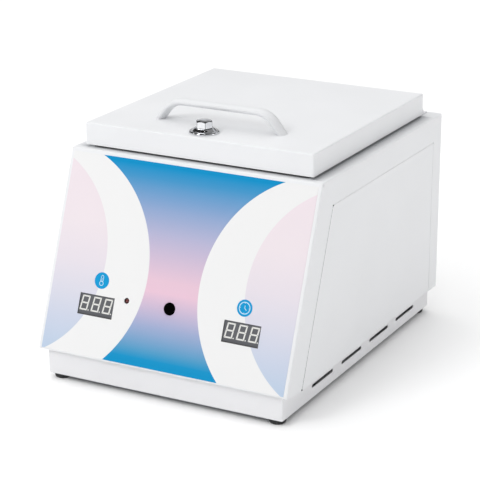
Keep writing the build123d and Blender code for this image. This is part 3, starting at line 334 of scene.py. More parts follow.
def make_disc_field():
    """1 inside a circle on the panel and 0 outside it, with a soft edge."""
    tree, given, out = new_group(
        "disc_field",
        [
            ("Vector", "NodeSocketVector", None),
            ("Centre", "NodeSocketVector", (0.0, 0.0, 0.0)),
            ("Radius", "NodeSocketFloat", 0.1),
            ("Edge", "NodeSocketFloat", 0.0002),
        ],
        [("Mask", "NodeSocketFloat")],
    )
    flat = node_of(tree, "ShaderNodeVectorMath", operation="MULTIPLY")
    flat.inputs[1].default_value = (1.0, 1.0, 0.0)
    link(tree, given.outputs["Vector"], flat.inputs[0])
    far = node_of(tree, "ShaderNodeVectorMath", operation="DISTANCE")
    link(tree, flat.outputs[0], far.inputs[0])
    link(tree, given.outputs["Centre"], far.inputs[1])
    inside = maths(tree, "SUBTRACT", given.outputs["Radius"], far.outputs["Value"])
    steep = maths(tree, "DIVIDE", inside, given.outputs["Edge"])
    half = maths(tree, "ADD", steep, 0.5)
    clamp = node_of(tree, "ShaderNodeClamp")
    link(tree, half, clamp.inputs["Value"])
    link(tree, clamp.outputs[0], out.inputs["Mask"])
    return tree


fine_grain = make_fine_grain()
brushed_lines = make_brushed_lines()
disc_field = make_disc_field()


def blank(name, colour, roughness, metallic=0.0):
    material = bpy.data.materials.new(name)
    material.use_nodes = True
    shader = material.node_tree.nodes["Principled BSDF"]
    shader.inputs["Base Color"].default_value = (*colour, 1.0)
    shader.inputs["Roughness"].default_value = roughness
    shader.inputs["Metallic"].default_value = metallic
    return material, material.node_tree, shader


def use_group(tree, group, vector, **values):
    node = node_of(tree, "ShaderNodeGroup", node_tree=group)
    link(tree, vector, node.inputs["Vector"])
    for key, value in values.items():
        node.inputs[key].default_value = value
    return node


def bumped(tree, shader, height, strength, distance):
    bump = node_of(tree, "ShaderNodeBump")
    bump.inputs["Strength"].default_value = strength
    bump.inputs["Distance"].default_value = distance
    link(tree, height, bump.inputs["Height"])
    link(tree, bump.outputs["Normal"], shader.inputs["Normal"])


def plain_colour(tree, colour):
    node = node_of(tree, "ShaderNodeRGB")
    node.outputs[0].default_value = (*colour, 1.0)
    return node.outputs[0]


def ramp_through(tree, factor, stops):
    """A ramp through (position, colour) stops, of which the lowest comes first and the highest second."""
    ramp = node_of(tree, "ShaderNodeValToRGB")
    marks = ramp.color_ramp.elements
    for i, (position, colour) in enumerate(stops):
        mark = marks[i] if i < 2 else marks.new(position)
        mark.position = position
        mark.color = (*colour, 1.0)
    link(tree, factor, ramp.inputs["Fac"])
    return ramp.outputs["Color"]


def grey_ramp(tree, factor, stops):
    return ramp_through(tree, factor, [(position, (tone, tone, tone)) for position, tone in stops])


def between(tree, factor, dark, light, low=0.3, high=0.7):
    """A colour that wanders between two near tones with a factor."""
    return ramp_through(tree, factor, [(low, dark), (high, light)])


def ranged(tree, factor, low, high):
    spread = node_of(tree, "ShaderNodeMapRange")
    spread.inputs["To Min"].default_value = low
    spread.inputs["To Max"].default_value = high
    link(tree, factor, spread.inputs["Value"])
    return spread.outputs[0]


def grained(
    name, colour, roughness, grain=900.0, bump=0.1, depth=0.00004, shift=0.04, coat=0.0, gloss=0.5
):
    material, tree, shader = blank(name, colour, roughness)
    place = object_place(tree)
    skin = use_group(tree, fine_grain, place, Scale=grain)
    dark = tuple(c * (1 - shift) for c in colour)
    light = tuple(min(1.0, c * (1 + shift)) for c in colour)
    link(tree, between(tree, skin.outputs["Cloud"], dark, light), shader.inputs["Base Color"])
    wander = ranged(tree, skin.outputs["Cloud"], roughness - 0.05, roughness + 0.05)
    link(tree, wander, shader.inputs["Roughness"])
    bumped(tree, shader, skin.outputs["Height"], bump, depth)
    shader.inputs["Specular IOR Level"].default_value = gloss
    shader.inputs["Coat Weight"].default_value = coat
    shader.inputs["Coat Roughness"].default_value = 0.1
    return material


def metal(name, colour, roughness, stretch=(40.0, 2500.0, 2500.0), bump=0.06, spread=0.08):
    material, tree, shader = blank(name, colour, roughness, 1.0)
    place = object_place(tree)
    lines = use_group(tree, brushed_lines, place, Stretch=stretch)
    dark = tuple(c * 0.9 for c in colour)
    link(tree, between(tree, lines.outputs["Streak"], dark, colour), shader.inputs["Base Color"])
    wander = ranged(tree, lines.outputs["Streak"], max(0.02, roughness - spread), roughness + spread)
    link(tree, wander, shader.inputs["Roughness"])
    bumped(tree, shader, lines.outputs["Height"], bump, 0.00003)
    return material


def from_hex(code):
    parts = [int(code[i:i + 2], 16) / 255 for i in (0, 2, 4)]
    return tuple(c / 12.92 if c <= 0.04045 else ((c + 0.055) / 1.055) ** 2.4 for c in parts)


def tone_ramp(tree, factor, stops):
    return ramp_through(tree, factor, [(position, from_hex(code)) for position, code in stops])


def object_place(tree):
    return node_of(tree, "ShaderNodeTexCoord").outputs["Object"]


def axes_of(tree, vector):
    axes = node_of(tree, "ShaderNodeSeparateXYZ")
    link(tree, vector, axes.inputs[0])
    return axes.outputs


def mixed(tree, factor, a, b):
    node = node_of(tree, "ShaderNodeMix", data_type="RGBA")
    link(tree, factor, node.inputs["Factor"])
    link(tree, a, node.inputs["A"])
    link(tree, b, node.inputs["B"])
    return node.outputs["Result"]


def panel_print():
    """The film's print: a deep blue and pink waist, two pale side fields and white between."""
    material, tree, shader = blank("panel_print", (0.9, 0.9, 0.9), 0.3)
    place = object_place(tree)
    flat = node_of(tree, "ShaderNodeMapping", vector_type="TEXTURE")
    flat.inputs["Location"].default_value = (0, front_y, edge_z)
    flat.inputs["Rotation"].default_value = (pi / 2 - slope, 0, 0)
    link(tree, place, flat.inputs["Vector"])
    spot = flat.outputs[0]
    rise = maths(tree, "DIVIDE", axes_of(tree, spot)["Y"], slope_length)

    deep = tone_ramp(tree, rise, [
        (0.0, "0d8cc1"), (0.965, "0d8bc1"), (0.05, "1a8fc2"), (0.09, "5298c1"), (0.21, "9ca8ca"),
        (0.375, "e1bfd0"), (0.43, "dfbfcf"), (0.66, "acaecc"), (0.82, "749bc6"), (0.905, "4491c2"),
    ])
    pale = tone_ramp(tree, rise, [
        (0.0, "b5c7dc"), (1.0, "e6dae0"), (0.17, "c5ccdd"), (0.3, "d2d2de"), (0.46, "ded7df"),
        (0.66, "e5dbe0"),
    ])

    def two_circles(x, y, radius):
        """1 inside either of two circles that mirror each other across the middle."""
        left, right = (
            use_group(tree, disc_field, spot, Centre=(side * x, y, 0.0), Radius=radius) for side in (-1, 1)
        )
        return maths(tree, "MAXIMUM", left.outputs[0], right.outputs[0])

    white = plain_colour(tree, from_hex("e7e7e7"))
    colour = mixed(tree, two_circles(0.1463, 0.0851, 0.1187), deep, white)
    colour = mixed(tree, two_circles(0.1812, 0.0931, 0.1062), colour, pale)
    link(tree, colour, shader.inputs["Base Color"])
    skin = use_group(tree, fine_grain, place, Scale=1600.0)
    bumped(tree, shader, skin.outputs["Height"], 0.04, 0.00002)
    link(tree, ranged(tree, skin.outputs["Cloud"], 0.42, 0.50), shader.inputs["Roughness"])
    shader.inputs["Specular IOR Level"].default_value = 0.06
    return material


white_paint = grained("white_paint", from_hex("e6e7e9"), 0.42, 1100.0, 0.10, 0.00004, 0.012)
base_paint = grained("base_paint", from_hex("e6e6e8"), 0.46, 1100.0, 0.12, 0.00004, 0.015)
lid_paint = grained("lid_paint", from_hex("e6e7e9"), 0.40, 1100.0, 0.10, 0.00004, 0.012)
handle_paint = grained("handle_paint", from_hex("e1e2e4"), 0.36, 700.0, 0.05, 0.00003, 0.01)
film_print = panel_print()
stainless = metal("stainless", (0.62, 0.62, 0.63), 0.28)
tray_steel = metal("tray_steel", (0.66, 0.66, 0.67), 0.24, (2500.0, 40.0, 2500.0))
zinc_sheet = metal("zinc_sheet", (0.50, 0.52, 0.54), 0.42, (300.0, 300.0, 300.0), 0.03, 0.10)
hinge_steel = metal("hinge_steel", (0.60, 0.60, 0.61), 0.30, (30.0, 2200.0, 2200.0))
screw_steel = metal("screw_steel", (0.55, 0.55, 0.56), 0.30, (900.0, 900.0, 900.0), 0.05)
chrome = metal("chrome", (0.74, 0.75, 0.77), 0.06, (500.0, 500.0, 500.0), 0.01, 0.03)
# painted reflection: stands for the dark reflections along the knob's edges
chrome_painted_reflection = metal("chrome_painted_reflection", (0.20, 0.20, 0.21), 0.25, (500.0, 500.0, 500.0), 0.01, 0.03)
heater_steel = metal("heater_steel", (0.22, 0.20, 0.19), 0.50, (800.0, 800.0, 800.0), 0.08)
brass = metal("brass", (0.70, 0.52, 0.22), 0.30, (900.0, 900.0, 900.0), 0.04)
foot_rubber = grained("foot_rubber", (0.012, 0.012, 0.013), 0.62, 1400.0, 0.25, 0.00006, 0.15)
gasket_rubber = grained("gasket_rubber", (0.05, 0.05, 0.052), 0.55, 1200.0, 0.2, 0.00005, 0.10)
black_plastic = grained("black_plastic", (0.012, 0.012, 0.013), 0.40, 1500.0, 0.15, 0.00004, 0.12)
button_black = (0.0015, 0.0015, 0.0015)
button_plastic = grained("button_plastic", button_black, 0.55, 1500.0, 0.08, 0.00003, 0.10, 0.0, 0.0)
display_face = grained("display_face", from_hex("606165"), 0.34, 1500.0, 0.05, 0.00002, 0.03, 0.0, 0.25)
display_body = grained("display_body", from_hex("2c2c2e"), 0.45, 1200.0, 0.08, 0.00003, 0.03)
segment_milk = grained("segment_milk", from_hex("dededa"), 0.38, 1500.0, 0.04, 0.00002, 0.02)
lamp_lens = grained("lamp_lens", (0.12, 0.012, 0.010), 0.14, 900.0, 0.02, 0.00002, 0.05, 0.6)
sign_blue = grained("sign_blue", from_hex("0f95cd"), 0.45, 1600.0, 0.04, 0.00002, 0.02, 0.0, 0.12)
sign_white = grained("sign_white", from_hex("e9e9e9"), 0.45, 1600.0, 0.04, 0.00002, 0.01, 0.0, 0.12)
sign_stroke = grained("sign_stroke", from_hex("c2e0ec"), 0.45, 1600.0, 0.04, 0.00002, 0.01, 0.0, 0.12)
seam_shade = grained("seam_shade", from_hex("5a5b5e"), 0.60, 900.0, 0.10, 0.00003, 0.10, 0.0, 0.2)
mineral_wool = grained("mineral_wool", (0.50, 0.45, 0.31), 0.95, 260.0, 0.9, 0.0008, 0.20)
board_mask = grained("board_mask", (0.01, 0.09, 0.035), 0.30, 1500.0, 0.05, 0.00003, 0.10, 0.3)
core_yellow = grained("core_yellow", (0.50, 0.33, 0.04), 0.42, 900.0, 0.10, 0.00004, 0.10)
relay_blue = grained("relay_blue", (0.02, 0.09, 0.32), 0.35, 1200.0, 0.05, 0.00003, 0.06)
fuse_clear = grained("fuse_clear", (0.70, 0.74, 0.74), 0.12, 900.0, 0.02, 0.00002, 0.05, 0.5)


def sheet_with_painted_shade():
    """Zinc, with its upper face painted dark as shade: it stands for the unlit cabinet seen through the
    vents.
    """
    upper_face_z = 5.2 * mm
    material, tree, shader = blank("sheet_with_painted_shade", (0.3, 0.3, 0.3), 0.5, 1.0)
    place = object_place(tree)
    inner = maths(tree, "GREATER_THAN", axes_of(tree, place)["Z"], upper_face_z)
    lines = use_group(tree, brushed_lines, place, Stretch=(300.0, 300.0, 300.0))
    zinc = between(tree, lines.outputs["Streak"], (0.45, 0.47, 0.49), (0.50, 0.52, 0.54))
    dark = plain_colour(tree, (0.012, 0.012, 0.013))
    link(tree, mixed(tree, inner, zinc, dark), shader.inputs["Base Color"])
    link(tree, maths(tree, "SUBTRACT", 1.0, inner), shader.inputs["Metallic"])
    link(tree, ranged(tree, inner, 0.42, 0.8), shader.inputs["Roughness"])
    bumped(tree, shader, lines.outputs["Height"], 0.03, 0.00003)
    return material


def with_painted_lid_shadow(material):
    """A duller tone on the top beside the lid: a painted shadow, for the shade that the lid casts there."""
    widest = 140.0
    tree = material.node_tree
    shader = tree.nodes["Principled BSDF"]
    axes = axes_of(tree, object_place(tree))
    far = maths(tree, "DIVIDE", maths(tree, "ABSOLUTE", axes["X"]), widest * mm)
    beside = grey_ramp(tree, far, [
        (x / widest, tone)
        for x, tone in [(116.0, 0.0), (131.6, 0.0), (119.5, 1.0), (123.0, 0.85), (129.0, 0.25)]
    ])
    high = maths(tree, "GREATER_THAN", axes["Z"], top_z - 0.25 * mm)
    behind = maths(tree, "GREATER_THAN", axes["Y"], lid_front + 1.0 * mm)
    before = maths(tree, "LESS_THAN", axes["Y"], lid_back + 2.0 * mm)
    lid_shadow = maths(tree, "MULTIPLY", maths(tree, "MULTIPLY", high, beside),
                  maths(tree, "MULTIPLY", behind, before))
    plain = shader.inputs["Base Color"].links[0].from_socket
    shadow_tone = plain_colour(tree, from_hex("b4b6b9"))
    link(tree, mixed(tree, lid_shadow, plain, shadow_tone), shader.inputs["Base Color"])
    return material


def finish_with(obj, material, body):
    obj.data.materials.clear()
    obj.data.materials.append(material)
    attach(obj, body)
    return obj


# the casing's paint, with the painted shadow of the lid on its top
casing_paint = with_painted_lid_shadow(grained("casing_paint", from_hex("e6e7e9"), 0.42, 1100.0, 0.10, 0.00004, 0.012))


# Pieces inside or below keep their own solids and get a material
hidden = {
    "bottom_plate": sheet_with_painted_shade(), "insulation_case": zinc_sheet, "heater_clamps": zinc_sheet,
    "heater": heater_steel, "thermal_cutout": heater_steel, "chamber_insulation": mineral_wool,
    "lid_insulation": mineral_wool, "hinge_pin": hinge_steel, "latch_nut": screw_steel,
    "temperature_probe": stainless, "board_screws": screw_steel, "striker_screws": screw_steel,
    "handle_screws": screw_steel, "earth_stud": screw_steel, "board_standoffs": brass,
    "button_switch": black_plastic, "switch_plunger": black_plastic, "lamp_sleeve": black_plastic,
    "terminal_block": black_plastic, "control_board": board_mask, "power_board": board_mask,
    "transformer": core_yellow, "relay": relay_blue, "fuse": fuse_clear,
}
for name, obj in frame["nodes"].items():
    obj.data.materials.clear()
    obj.data.materials.append(hidden.get(name, white_paint))


# Folded and moulded pieces whose solids are drawn in full: cleaned copies with soft edges
sheet_pieces = [
    ("casing", casing_paint, "white_paint", "cabinet", 0.00025),
    ("side_panel_right", white_paint, "white_paint", "cabinet", 0.00022),
    ("side_panel_left", white_paint, "white_paint", "cabinet", 0.00022),
    ("base_frame", base_paint, "grey_paint", "cabinet", 0.00025),
    ("lid_shell", lid_paint, "white_paint", "lid", 0.00025),
    ("front_film", film_print, "film", "cabinet", 0.0),
    ("chamber", stainless, "stainless", "cabinet", 0.0),
    ("tray_rails", stainless, "zinc_sheet", "cabinet", 0.0002),
    ("instrument_tray", tray_steel, "stainless", "cabinet", 0.0),
    ("lid_liner", stainless, "stainless", "lid", 0.0002),
    ("lid_gasket", gasket_rubber, "gasket_rubber", "lid", 0.0008),
    ("hinge_leaf_fixed", white_paint, "white_paint", "cabinet", 0.00015),
    ("hinge_leaf_moving", white_paint, "white_paint", "lid", 0.00015),
    ("latch_cam", stainless, "stainless", "latch", 0.0003),
    ("latch_striker", zinc_sheet, "zinc_sheet", "cabinet", 0.0003),
    ("power_inlet", black_plastic, "black_plastic", "cabinet", 0.0004),
    ("inlet_pins", brass, "brass", "cabinet", 0.0004),
    ("switch_frame", black_plastic, "black_plastic", "cabinet", 0.0003),
    ("temperature_segments", segment_milk, "segment", "cabinet", 0.0),
    ("time_segments", segment_milk, "segment", "cabinet", 0.0),
]
for node, material, slot_name, body, width in sheet_pieces:
    finish_with(refined(node, width, flats=width > 0), material, body)


def trim_film(film):
    """The print runs down to the lower bend and is cut close round the two display modules."""
    inverse = panel.inverted()
    for point in film.data.vertices:
        local = inverse @ point.co
        if local.y < 5.0 * mm:
            local.y -= 1.5 * mm
            point.co = panel @ local
    closer_across, closer_up = 18.95 / 19.8, 10.15 / 11.0
    for side in (-1, 1):
        middle = side * display_offset
        for point in film.data.vertices:
            local = inverse @ point.co
            across, up = local.x - middle, local.y - display_level
            if abs(across) < 20.2 * mm and abs(up) < 11.4 * mm:
                local.x = middle + across * closer_across
                local.y = display_level + up * closer_up
                point.co = panel @ local


def slid(obj, across, up, out):
    """Moves a piece along the slope, and out of it."""
    return placed(obj, Matrix.Translation(panel.to_3x3() @ Vector((across, up, out))))


def face_height(obj):
    """How far a piece reaches out of the slope."""
    inverse = panel.inverted()
    return max((inverse @ point.co).z for point in obj.data.vertices)


trim_film(bpy.data.objects["front_film_finished"])


def side_seams(name):
    """The panel's front edge faces are painted dark as the shade in its joint, and its crest is raised to
    close the top joint.
    """
    obj = bpy.data.objects[name + "_finished"]
    obj.data.materials.append(seam_shade)
    across = Vector((0, -cos(slope), sin(slope)))
    for face in obj.data.polygons:
        if face.normal.dot(across) > 0.75 and abs(face.normal.x) < 0.6 and face.center.y < 0.02:
            face.material_index = 1
    pick(obj, points=lambda c: c.z > 186.4 * mm and abs(c.x) > 131.5 * mm)
    bpy.ops.transform.translate(value=(0, 0, 0.35 * mm))
    bpy.ops.object.mode_set(mode="OBJECT")


side_seams("side_panel_right")
side_seams("side_panel_left")


def display(name):
    """Grey face with its wells closed, on a darker moulded body."""
    obj = refined(name, 0.0)
    inverse, face = panel.inverted(), face_height(obj)
    for point in obj.data.vertices:
        local = inverse @ point.co
        in_well = abs(abs(local.x) - display_offset) < 18.4 * mm and abs(local.y - display_level) < 9.4 * mm
        if in_well and face - 1.5 * mm < local.z < face:
            local.z = face
            point.co = panel @ local
    faired(obj)
    finish_with(obj, display_face, "cabinet")
    obj.data.materials.append(display_body)
    normal = (panel.to_3x3() @ Vector((0, 0, 1))).normalized()
    for face in obj.data.polygons:
        if face.normal.dot(normal) < 0.9:
            face.material_index = 1
    return obj


def light_up(digits, module, across):
    """The segments lie on the closed face, like lit windows, and a little higher up than their wells."""
    up, proud = 1.2 * mm, 0.04 * mm
    obj = bpy.data.objects[digits + "_finished"]
    slid(obj, across * mm, up, face_height(module) - face_height(obj) + proud)


def painted_gap_shade(name, middle):
    """A thin dark strip of the gasket's rubber, painted as the shade in the gap between a module and the
    film's lower edge.
    """
    strip = block(name, (37.9 * mm, 0.95 * mm, 0.06 * mm), (middle, display_level - 9.68 * mm, 0.29 * mm))
    soften(strip, 0.00002, 1)
    placed(strip, panel)
    finish_with(strip, gasket_rubber, "cabinet")


light_up("temperature_segments", display("temperature_display"), -0.5)
light_up("time_segments", display("time_display"), 0.2)
painted_gap_shade("temperature_gap_shade", -display_offset)
painted_gap_shade("time_gap_shade", display_offset)


# Bow handle: an oval ring drawn out along the bar in steps, spun round the bend and drawn down the
# leg, then swelled towards the feet
def bow_handle():
    rise, bend, lean = 18.8 * mm, 23.5 * mm, radians(52)
    half_span = 65.2 * mm
    drop = bend * (1 - cos(lean))
    leg = (rise - drop) / sin(lean)
    reach = half_span - leg * cos(lean) - bend * sin(lean)
    object_mode()
    bpy.ops.mesh.primitive_circle_add(vertices=40, radius=0.5, fill_type="NOTHING", location=(0, 0, 0))
    obj = named("handle_bow")
    obj.scale = (6.8 * mm, 13.8 * mm, 1)
    apply_place(obj)
    obj.rotation_euler = (0, pi / 2, 0)
    obj.location = (0, handle_y, lid_top + rise)
    apply_place(obj)
    only(obj)
    bpy.ops.object.mode_set(mode="EDIT")
    bpy.ops.mesh.select_mode(type="EDGE")
    bpy.ops.mesh.select_all(action="SELECT")
    for _ in range(8):
        bpy.ops.mesh.extrude_edges_move(TRANSFORM_OT_translate={"value": (reach / 8, 0, 0)})
    bpy.ops.mesh.spin(
        steps=20, angle=lean, center=(reach, handle_y, lid_top + rise - bend), axis=(0, -1, 0)
    )
    longer = (leg + 9.0 * mm) / 5
    down = (longer * cos(lean), 0, -longer * sin(lean))
    for _ in range(5):
        bpy.ops.mesh.extrude_edges_move(TRANSFORM_OT_translate={"value": down})
    bpy.ops.object.mode_set(mode="OBJECT")
    pick(obj, points=lambda c: c.x > reach + bend * 0.55)
    bpy.ops.mesh.normals_make_consistent(inside=False)
    bpy.ops.transform.shrink_fatten(
        value=0.0001, use_proportional_edit=True, proportional_edit_falloff="SMOOTH", proportional_size=0.034
    )
    bpy.ops.transform.resize(
        value=(1, 1.05, 1), center_override=(0, handle_y, 0), use_proportional_edit=True,
        proportional_edit_falloff="SMOOTH", proportional_size=0.040,
    )
    bpy.ops.mesh.select_all(action="SELECT")
    bpy.ops.mesh.bisect(plane_co=(0, 0, lid_top), plane_no=(0, 0, -1), clear_outer=True, use_fill=True)
    bpy.ops.object.mode_set(mode="OBJECT")
    mirror = obj.modifiers.new("other_half", "MIRROR")
    mirror.use_axis = (True, False, False)
    mirror.merge_threshold = 0.00002
    bpy.ops.object.modifier_apply(modifier="other_half")
    bpy.ops.object.mode_set(mode="EDIT")
    bpy.ops.mesh.select_all(action="SELECT")
    bpy.ops.mesh.remove_doubles(threshold=0.00001)
    bpy.ops.mesh.normals_make_consistent(inside=False)
    bpy.ops.object.mode_set(mode="OBJECT")
    bpy.ops.object.shade_smooth_by_angle(angle=radians(50))
    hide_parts("handle")
    return finish_with(obj, handle_paint, "lid")


bow_handle()


# Hexagon head: flats pressed onto a round blank, its crown turned to a cone so that it cuts
# scallops into the flats, and its top slightly domed
def hexagon_head():
    flat, crown, foot, top = 0.0073, 0.0070, lid_top + 0.0052, lid_top + 0.0121
    rim_z, crown_slope = top - 0.00050, 0.85
    head = round_bar("latch_head", flat, top - foot, (0, 0, (top + foot) / 2), 72)
    pick(head, faces=lambda c, n: n.z > 0.9)
    bpy.ops.mesh.inset(thickness=0.0004, depth=0.0)
    bpy.ops.mesh.inset(thickness=0.0020, depth=0.0)
    bpy.ops.mesh.inset(thickness=0.0022, depth=0.0)
    bpy.ops.object.mode_set(mode="OBJECT")
    for point in head.data.vertices:
        out = Vector((point.co.x, point.co.y))
        if out.length > 0.0072:
            turn = atan2(out.y, out.x) % (pi / 3) - pi / 6
            reach = flat / cos(turn)
            point.co.x, point.co.y = out.normalized() * reach
            if point.co.z > foot + 0.001:
                point.co.z = rim_z - (reach - crown) * crown_slope
        elif point.co.z > foot + 0.001:
            if out.length > 0.0064:
                point.co.x, point.co.y = out.normalized() * crown
                point.co.z = rim_z
            elif out.length > 0.0040:
                point.co.z = top - 0.00010
            else:
                point.co.z = top
    corner = flat / cos(pi / 6)
    pick(head, edges=lambda a, b: abs(a.z - b.z) > 0.001 and min(
        Vector((a.x, a.y)).length, Vector((b.x, b.y)).length) > corner * 0.998)
    bpy.ops.mesh.bevel(offset=0.00028, segments=2, affect="EDGES")
    bpy.ops.object.mode_set(mode="OBJECT")
    head.rotation_euler = (0, 0, knob_turn)
    head.location = (knob_x, knob_y, 0)
    apply_place(head)
    bpy.ops.object.shade_smooth_by_angle(angle=radians(22))
    return head


# Latch: turned rosette with a beaded foot, and the knob on its shaft
def latch_parts():
    centre = (knob_x, knob_y, lid_top)
    rosette = turned("latch_rosette", [
        (0.0042, 0.0), (0.0138, 0.0), (0.0143, 0.0004), (0.0144, 0.0010), (0.0142, 0.0016),
        (0.0136, 0.0021), (0.0128, 0.0023), (0.0122, 0.0022), (0.0116, 0.0024), (0.0110, 0.0029),
        (0.0104, 0.0035), (0.0099, 0.0041), (0.0094, 0.0045), (0.0088, 0.0048), (0.0082, 0.0049),
        (0.0042, 0.0049), (0.0042, 0.0),
    ], centre, 64)
    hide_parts("knob_rosette")
    finish_with(rosette, chrome, "lid")

    head = hexagon_head()
    shaft = round_bar("latch_shaft", 0.0040, 0.0245, (knob_x, knob_y, lid_top - 0.0050), 36)
    soften(shaft, 0.0003, 2, 60)
    stud = round_bar("latch_stud", 0.0030, 0.0056, (knob_x, knob_y, top_z + 0.0044), 30)
    soften(stud, 0.0003, 2, 60)
    knob = joined("latch_knob_finished", [head, shaft, stud])
    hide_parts("latch_knob")
    finish_with(knob, chrome, "latch")
    # painted reflection: the dark chrome goes on the head's corner lines and on the chamfer round its crown
    knob.data.materials.append(chrome_painted_reflection)
    for face in knob.data.polygons:
        out = Vector((face.center.x - knob_x, face.center.y - knob_y))
        turn = (atan2(out.y, out.x) - knob_turn) % (pi / 3)
        near_corner = min(turn, pi / 3 - turn) * out.length < 0.00034
        corner_line = near_corner and out.length > 0.0078 and abs(face.normal.z) < 0.5
        chamfer = out.length > 0.0069 and 0.3 < face.normal.z < 0.97 and face.center.z > lid_top + 0.009
        if corner_line or chamfer:
            face.material_index = 1


latch_parts()


# Feet: turned rubber with a recess for the screw
def feet():
    profile = [
        (0.0041, 0.0045), (0.0078, 0.0045), (0.0080, 0.0043), (0.0080, 0.0018), (0.0076, 0.0007),
        (0.0068, 0.0), (0.0048, 0.0), (0.0042, 0.0004), (0.0041, 0.0030), (0.0021, 0.0030),
        (0.0021, 0.0045), (0.0041, 0.0045),
    ]
    first = turned("foot_first", profile, (0, 0, 0), 40)
    copies = []
    for i, (x, y) in enumerate([(-foot_x, foot_front_y), (foot_x, foot_front_y),
                                (-foot_x, foot_back_y), (foot_x, foot_back_y)]):
        copies.append(copy_at(first, f"foot_{i}", (x, y, 0)))
    only(first)
    bpy.ops.object.delete()
    group = joined("rubber_feet", copies)
    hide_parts("feet")
    finish_with(group, foot_rubber, "cabinet")


feet()


# Screws: a low domed head with a recess, on its own shank
def screw(name, head, height, shank, length):
    return turned(name, [
        (0.0, height * 0.45), (head * 0.30, height * 0.45), (head * 0.42, height * 0.55),
        (head * 0.44, height * 0.97), (head * 0.70, height * 0.88), (head * 0.93, height * 0.5),
        (head, height * 0.15), (head * 0.98, 0.0), (shank, 0.0), (shank, -length * 0.92),
        (shank * 0.8, -length), (0.0, -length),
    ], (0, 0, 0), 24)


def set_of_screws(node, body, size, places, matrix):
    first = screw(node + "_first", *size)
    copies = [copy_at(first, f"{node}_{i}", spot) for i, spot in enumerate(places)]
    only(first)
    bpy.ops.object.delete()
    group = joined(node + "_finished", copies)
    placed(group, matrix)
    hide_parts(node)
    finish_with(group, screw_steel, body)


m4 = (0.0038, 0.0024, 0.0020)
low = (0.0028, 0.0012, 0.0015)
downward = Matrix.Rotation(pi, 4, "X")
hinge_x = [(i - 2) * 236.0 / 5 * mm for i in range(5)]
leaf_y = hinge_y + 7.9 * mm
leaf_z = hinge_z + 8.8 * mm
set_of_screws("hinge_screws_fixed", "cabinet", (*low, 0.005),
              [(x, leaf_y, top_z + 0.0015) for x in hinge_x], Matrix.Identity(4))
set_of_screws("hinge_screws_moving", "lid", (*low, 0.005),
              [(-x, leaf_z, 0) for x in hinge_x],
              Matrix.Translation((0, lid_back + 0.0015, 0)) @ facing_back)
set_of_screws("inlet_screws", "cabinet", (*low, 0.006),
              [(-0.070 + s * 0.020, 0.0535, 0) for s in (-1, 1)],
              Matrix.Translation((0, back_y + 0.0018, 0)) @ facing_back)
set_of_screws("liner_screws", "lid", (0.0028, 0.0009, 0.0015, 0.004),
              [(s * 0.105, -(lid_middle_y + t * 85.0 * mm), -0.2164) for s in (-1, 1) for t in (-0.6, 1)],
              downward)
set_of_screws("foot_screws", "cabinet", (*m4, 0.0065),
              [(s * foot_x, -y, -0.0030) for s in (-1, 1) for y in (foot_front_y, foot_back_y)],
              downward)
base_middle = (base_front_y + base_back_y) / 2
quarter = (base_back_y - base_front_y) / 4
base_places = [(s * 0.118, -(base_middle + t * quarter), -0.0045) for s in (-1, 1) for t in (-1, 1)]
base_places += [(s * 0.119, -(base_middle + t * quarter), -0.0265) for s in (-1, 1) for t in (-1, 1)]
base_places += [(s * 0.0665, -y, -0.0265) for s in (-1, 1) for y in (-142.816 * mm, 162.684 * mm)]
set_of_screws("base_screws", "cabinet", (*m4, 0.005), base_places, downward)


# Controls on the slope
def controls():
    cap = turned("button_dished", [
        (0.0, 0.0009), (0.0030, 0.0010), (0.0044, 0.0013), (0.0051, 0.0014), (0.0056, 0.0012),
        (0.0058, 0.0008), (0.0058, -0.0013), (0.0070, -0.0013), (0.0070, -0.0027), (0.0, -0.0027),
    ], (0.7 * mm, control_level, 0), 48)
    placed(cap, panel)
    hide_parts("button_cap")
    finish_with(cap, button_plastic, "button")

    lamp = turned("lamp_dome", [
        (0.0, 0.0), (0.0007, -0.0001), (0.0013, -0.0004), (0.0018, -0.0008), (0.0022, -0.0014),
        (0.0025, -0.0025), (0.0025, -0.0086), (0.0, -0.0086),
    ], (-45.7 * mm, control_level, 0), 32)
    placed(lamp, panel)
    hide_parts("status_lamp")
    finish_with(lamp, lamp_lens, "cabinet")


controls()


def sign_disc(name, u, v):
    disc = round_bar(name, 7.85 * mm, 0.05 * mm, (u, v, 0.30 * mm), 64)
    soften(disc, 0.00002, 1)
    placed(disc, panel)
    return finish_with(disc, sign_blue, "cabinet")


def bar_between(name, a, b, width, height):
    """A flat stroke with round ends on the panel's plane."""
    a, b = Vector(a), Vector(b)
    along = b - a
    stroke = block(name, (along.length, width, 0.05 * mm), (0, 0, 0))
    pick(stroke, edges=lambda p, q: abs(p.z - q.z) > 0.00001)
    bpy.ops.mesh.bevel(offset=width * 0.49, segments=5, affect="EDGES")
    bpy.ops.object.mode_set(mode="OBJECT")
    stroke.rotation_euler = (0, 0, atan2(along.y, along.x))
    middle = (a + b) / 2
    stroke.location = (middle.x, middle.y, height)
    apply_place(stroke)
    return stroke


def ring(name, outer, inner, spot):
    return turned(name, [
        (inner, -0.000025), (outer, -0.000025), (outer, 0.000025), (inner, 0.000025), (inner, -0.000025),
    ], spot, 48)


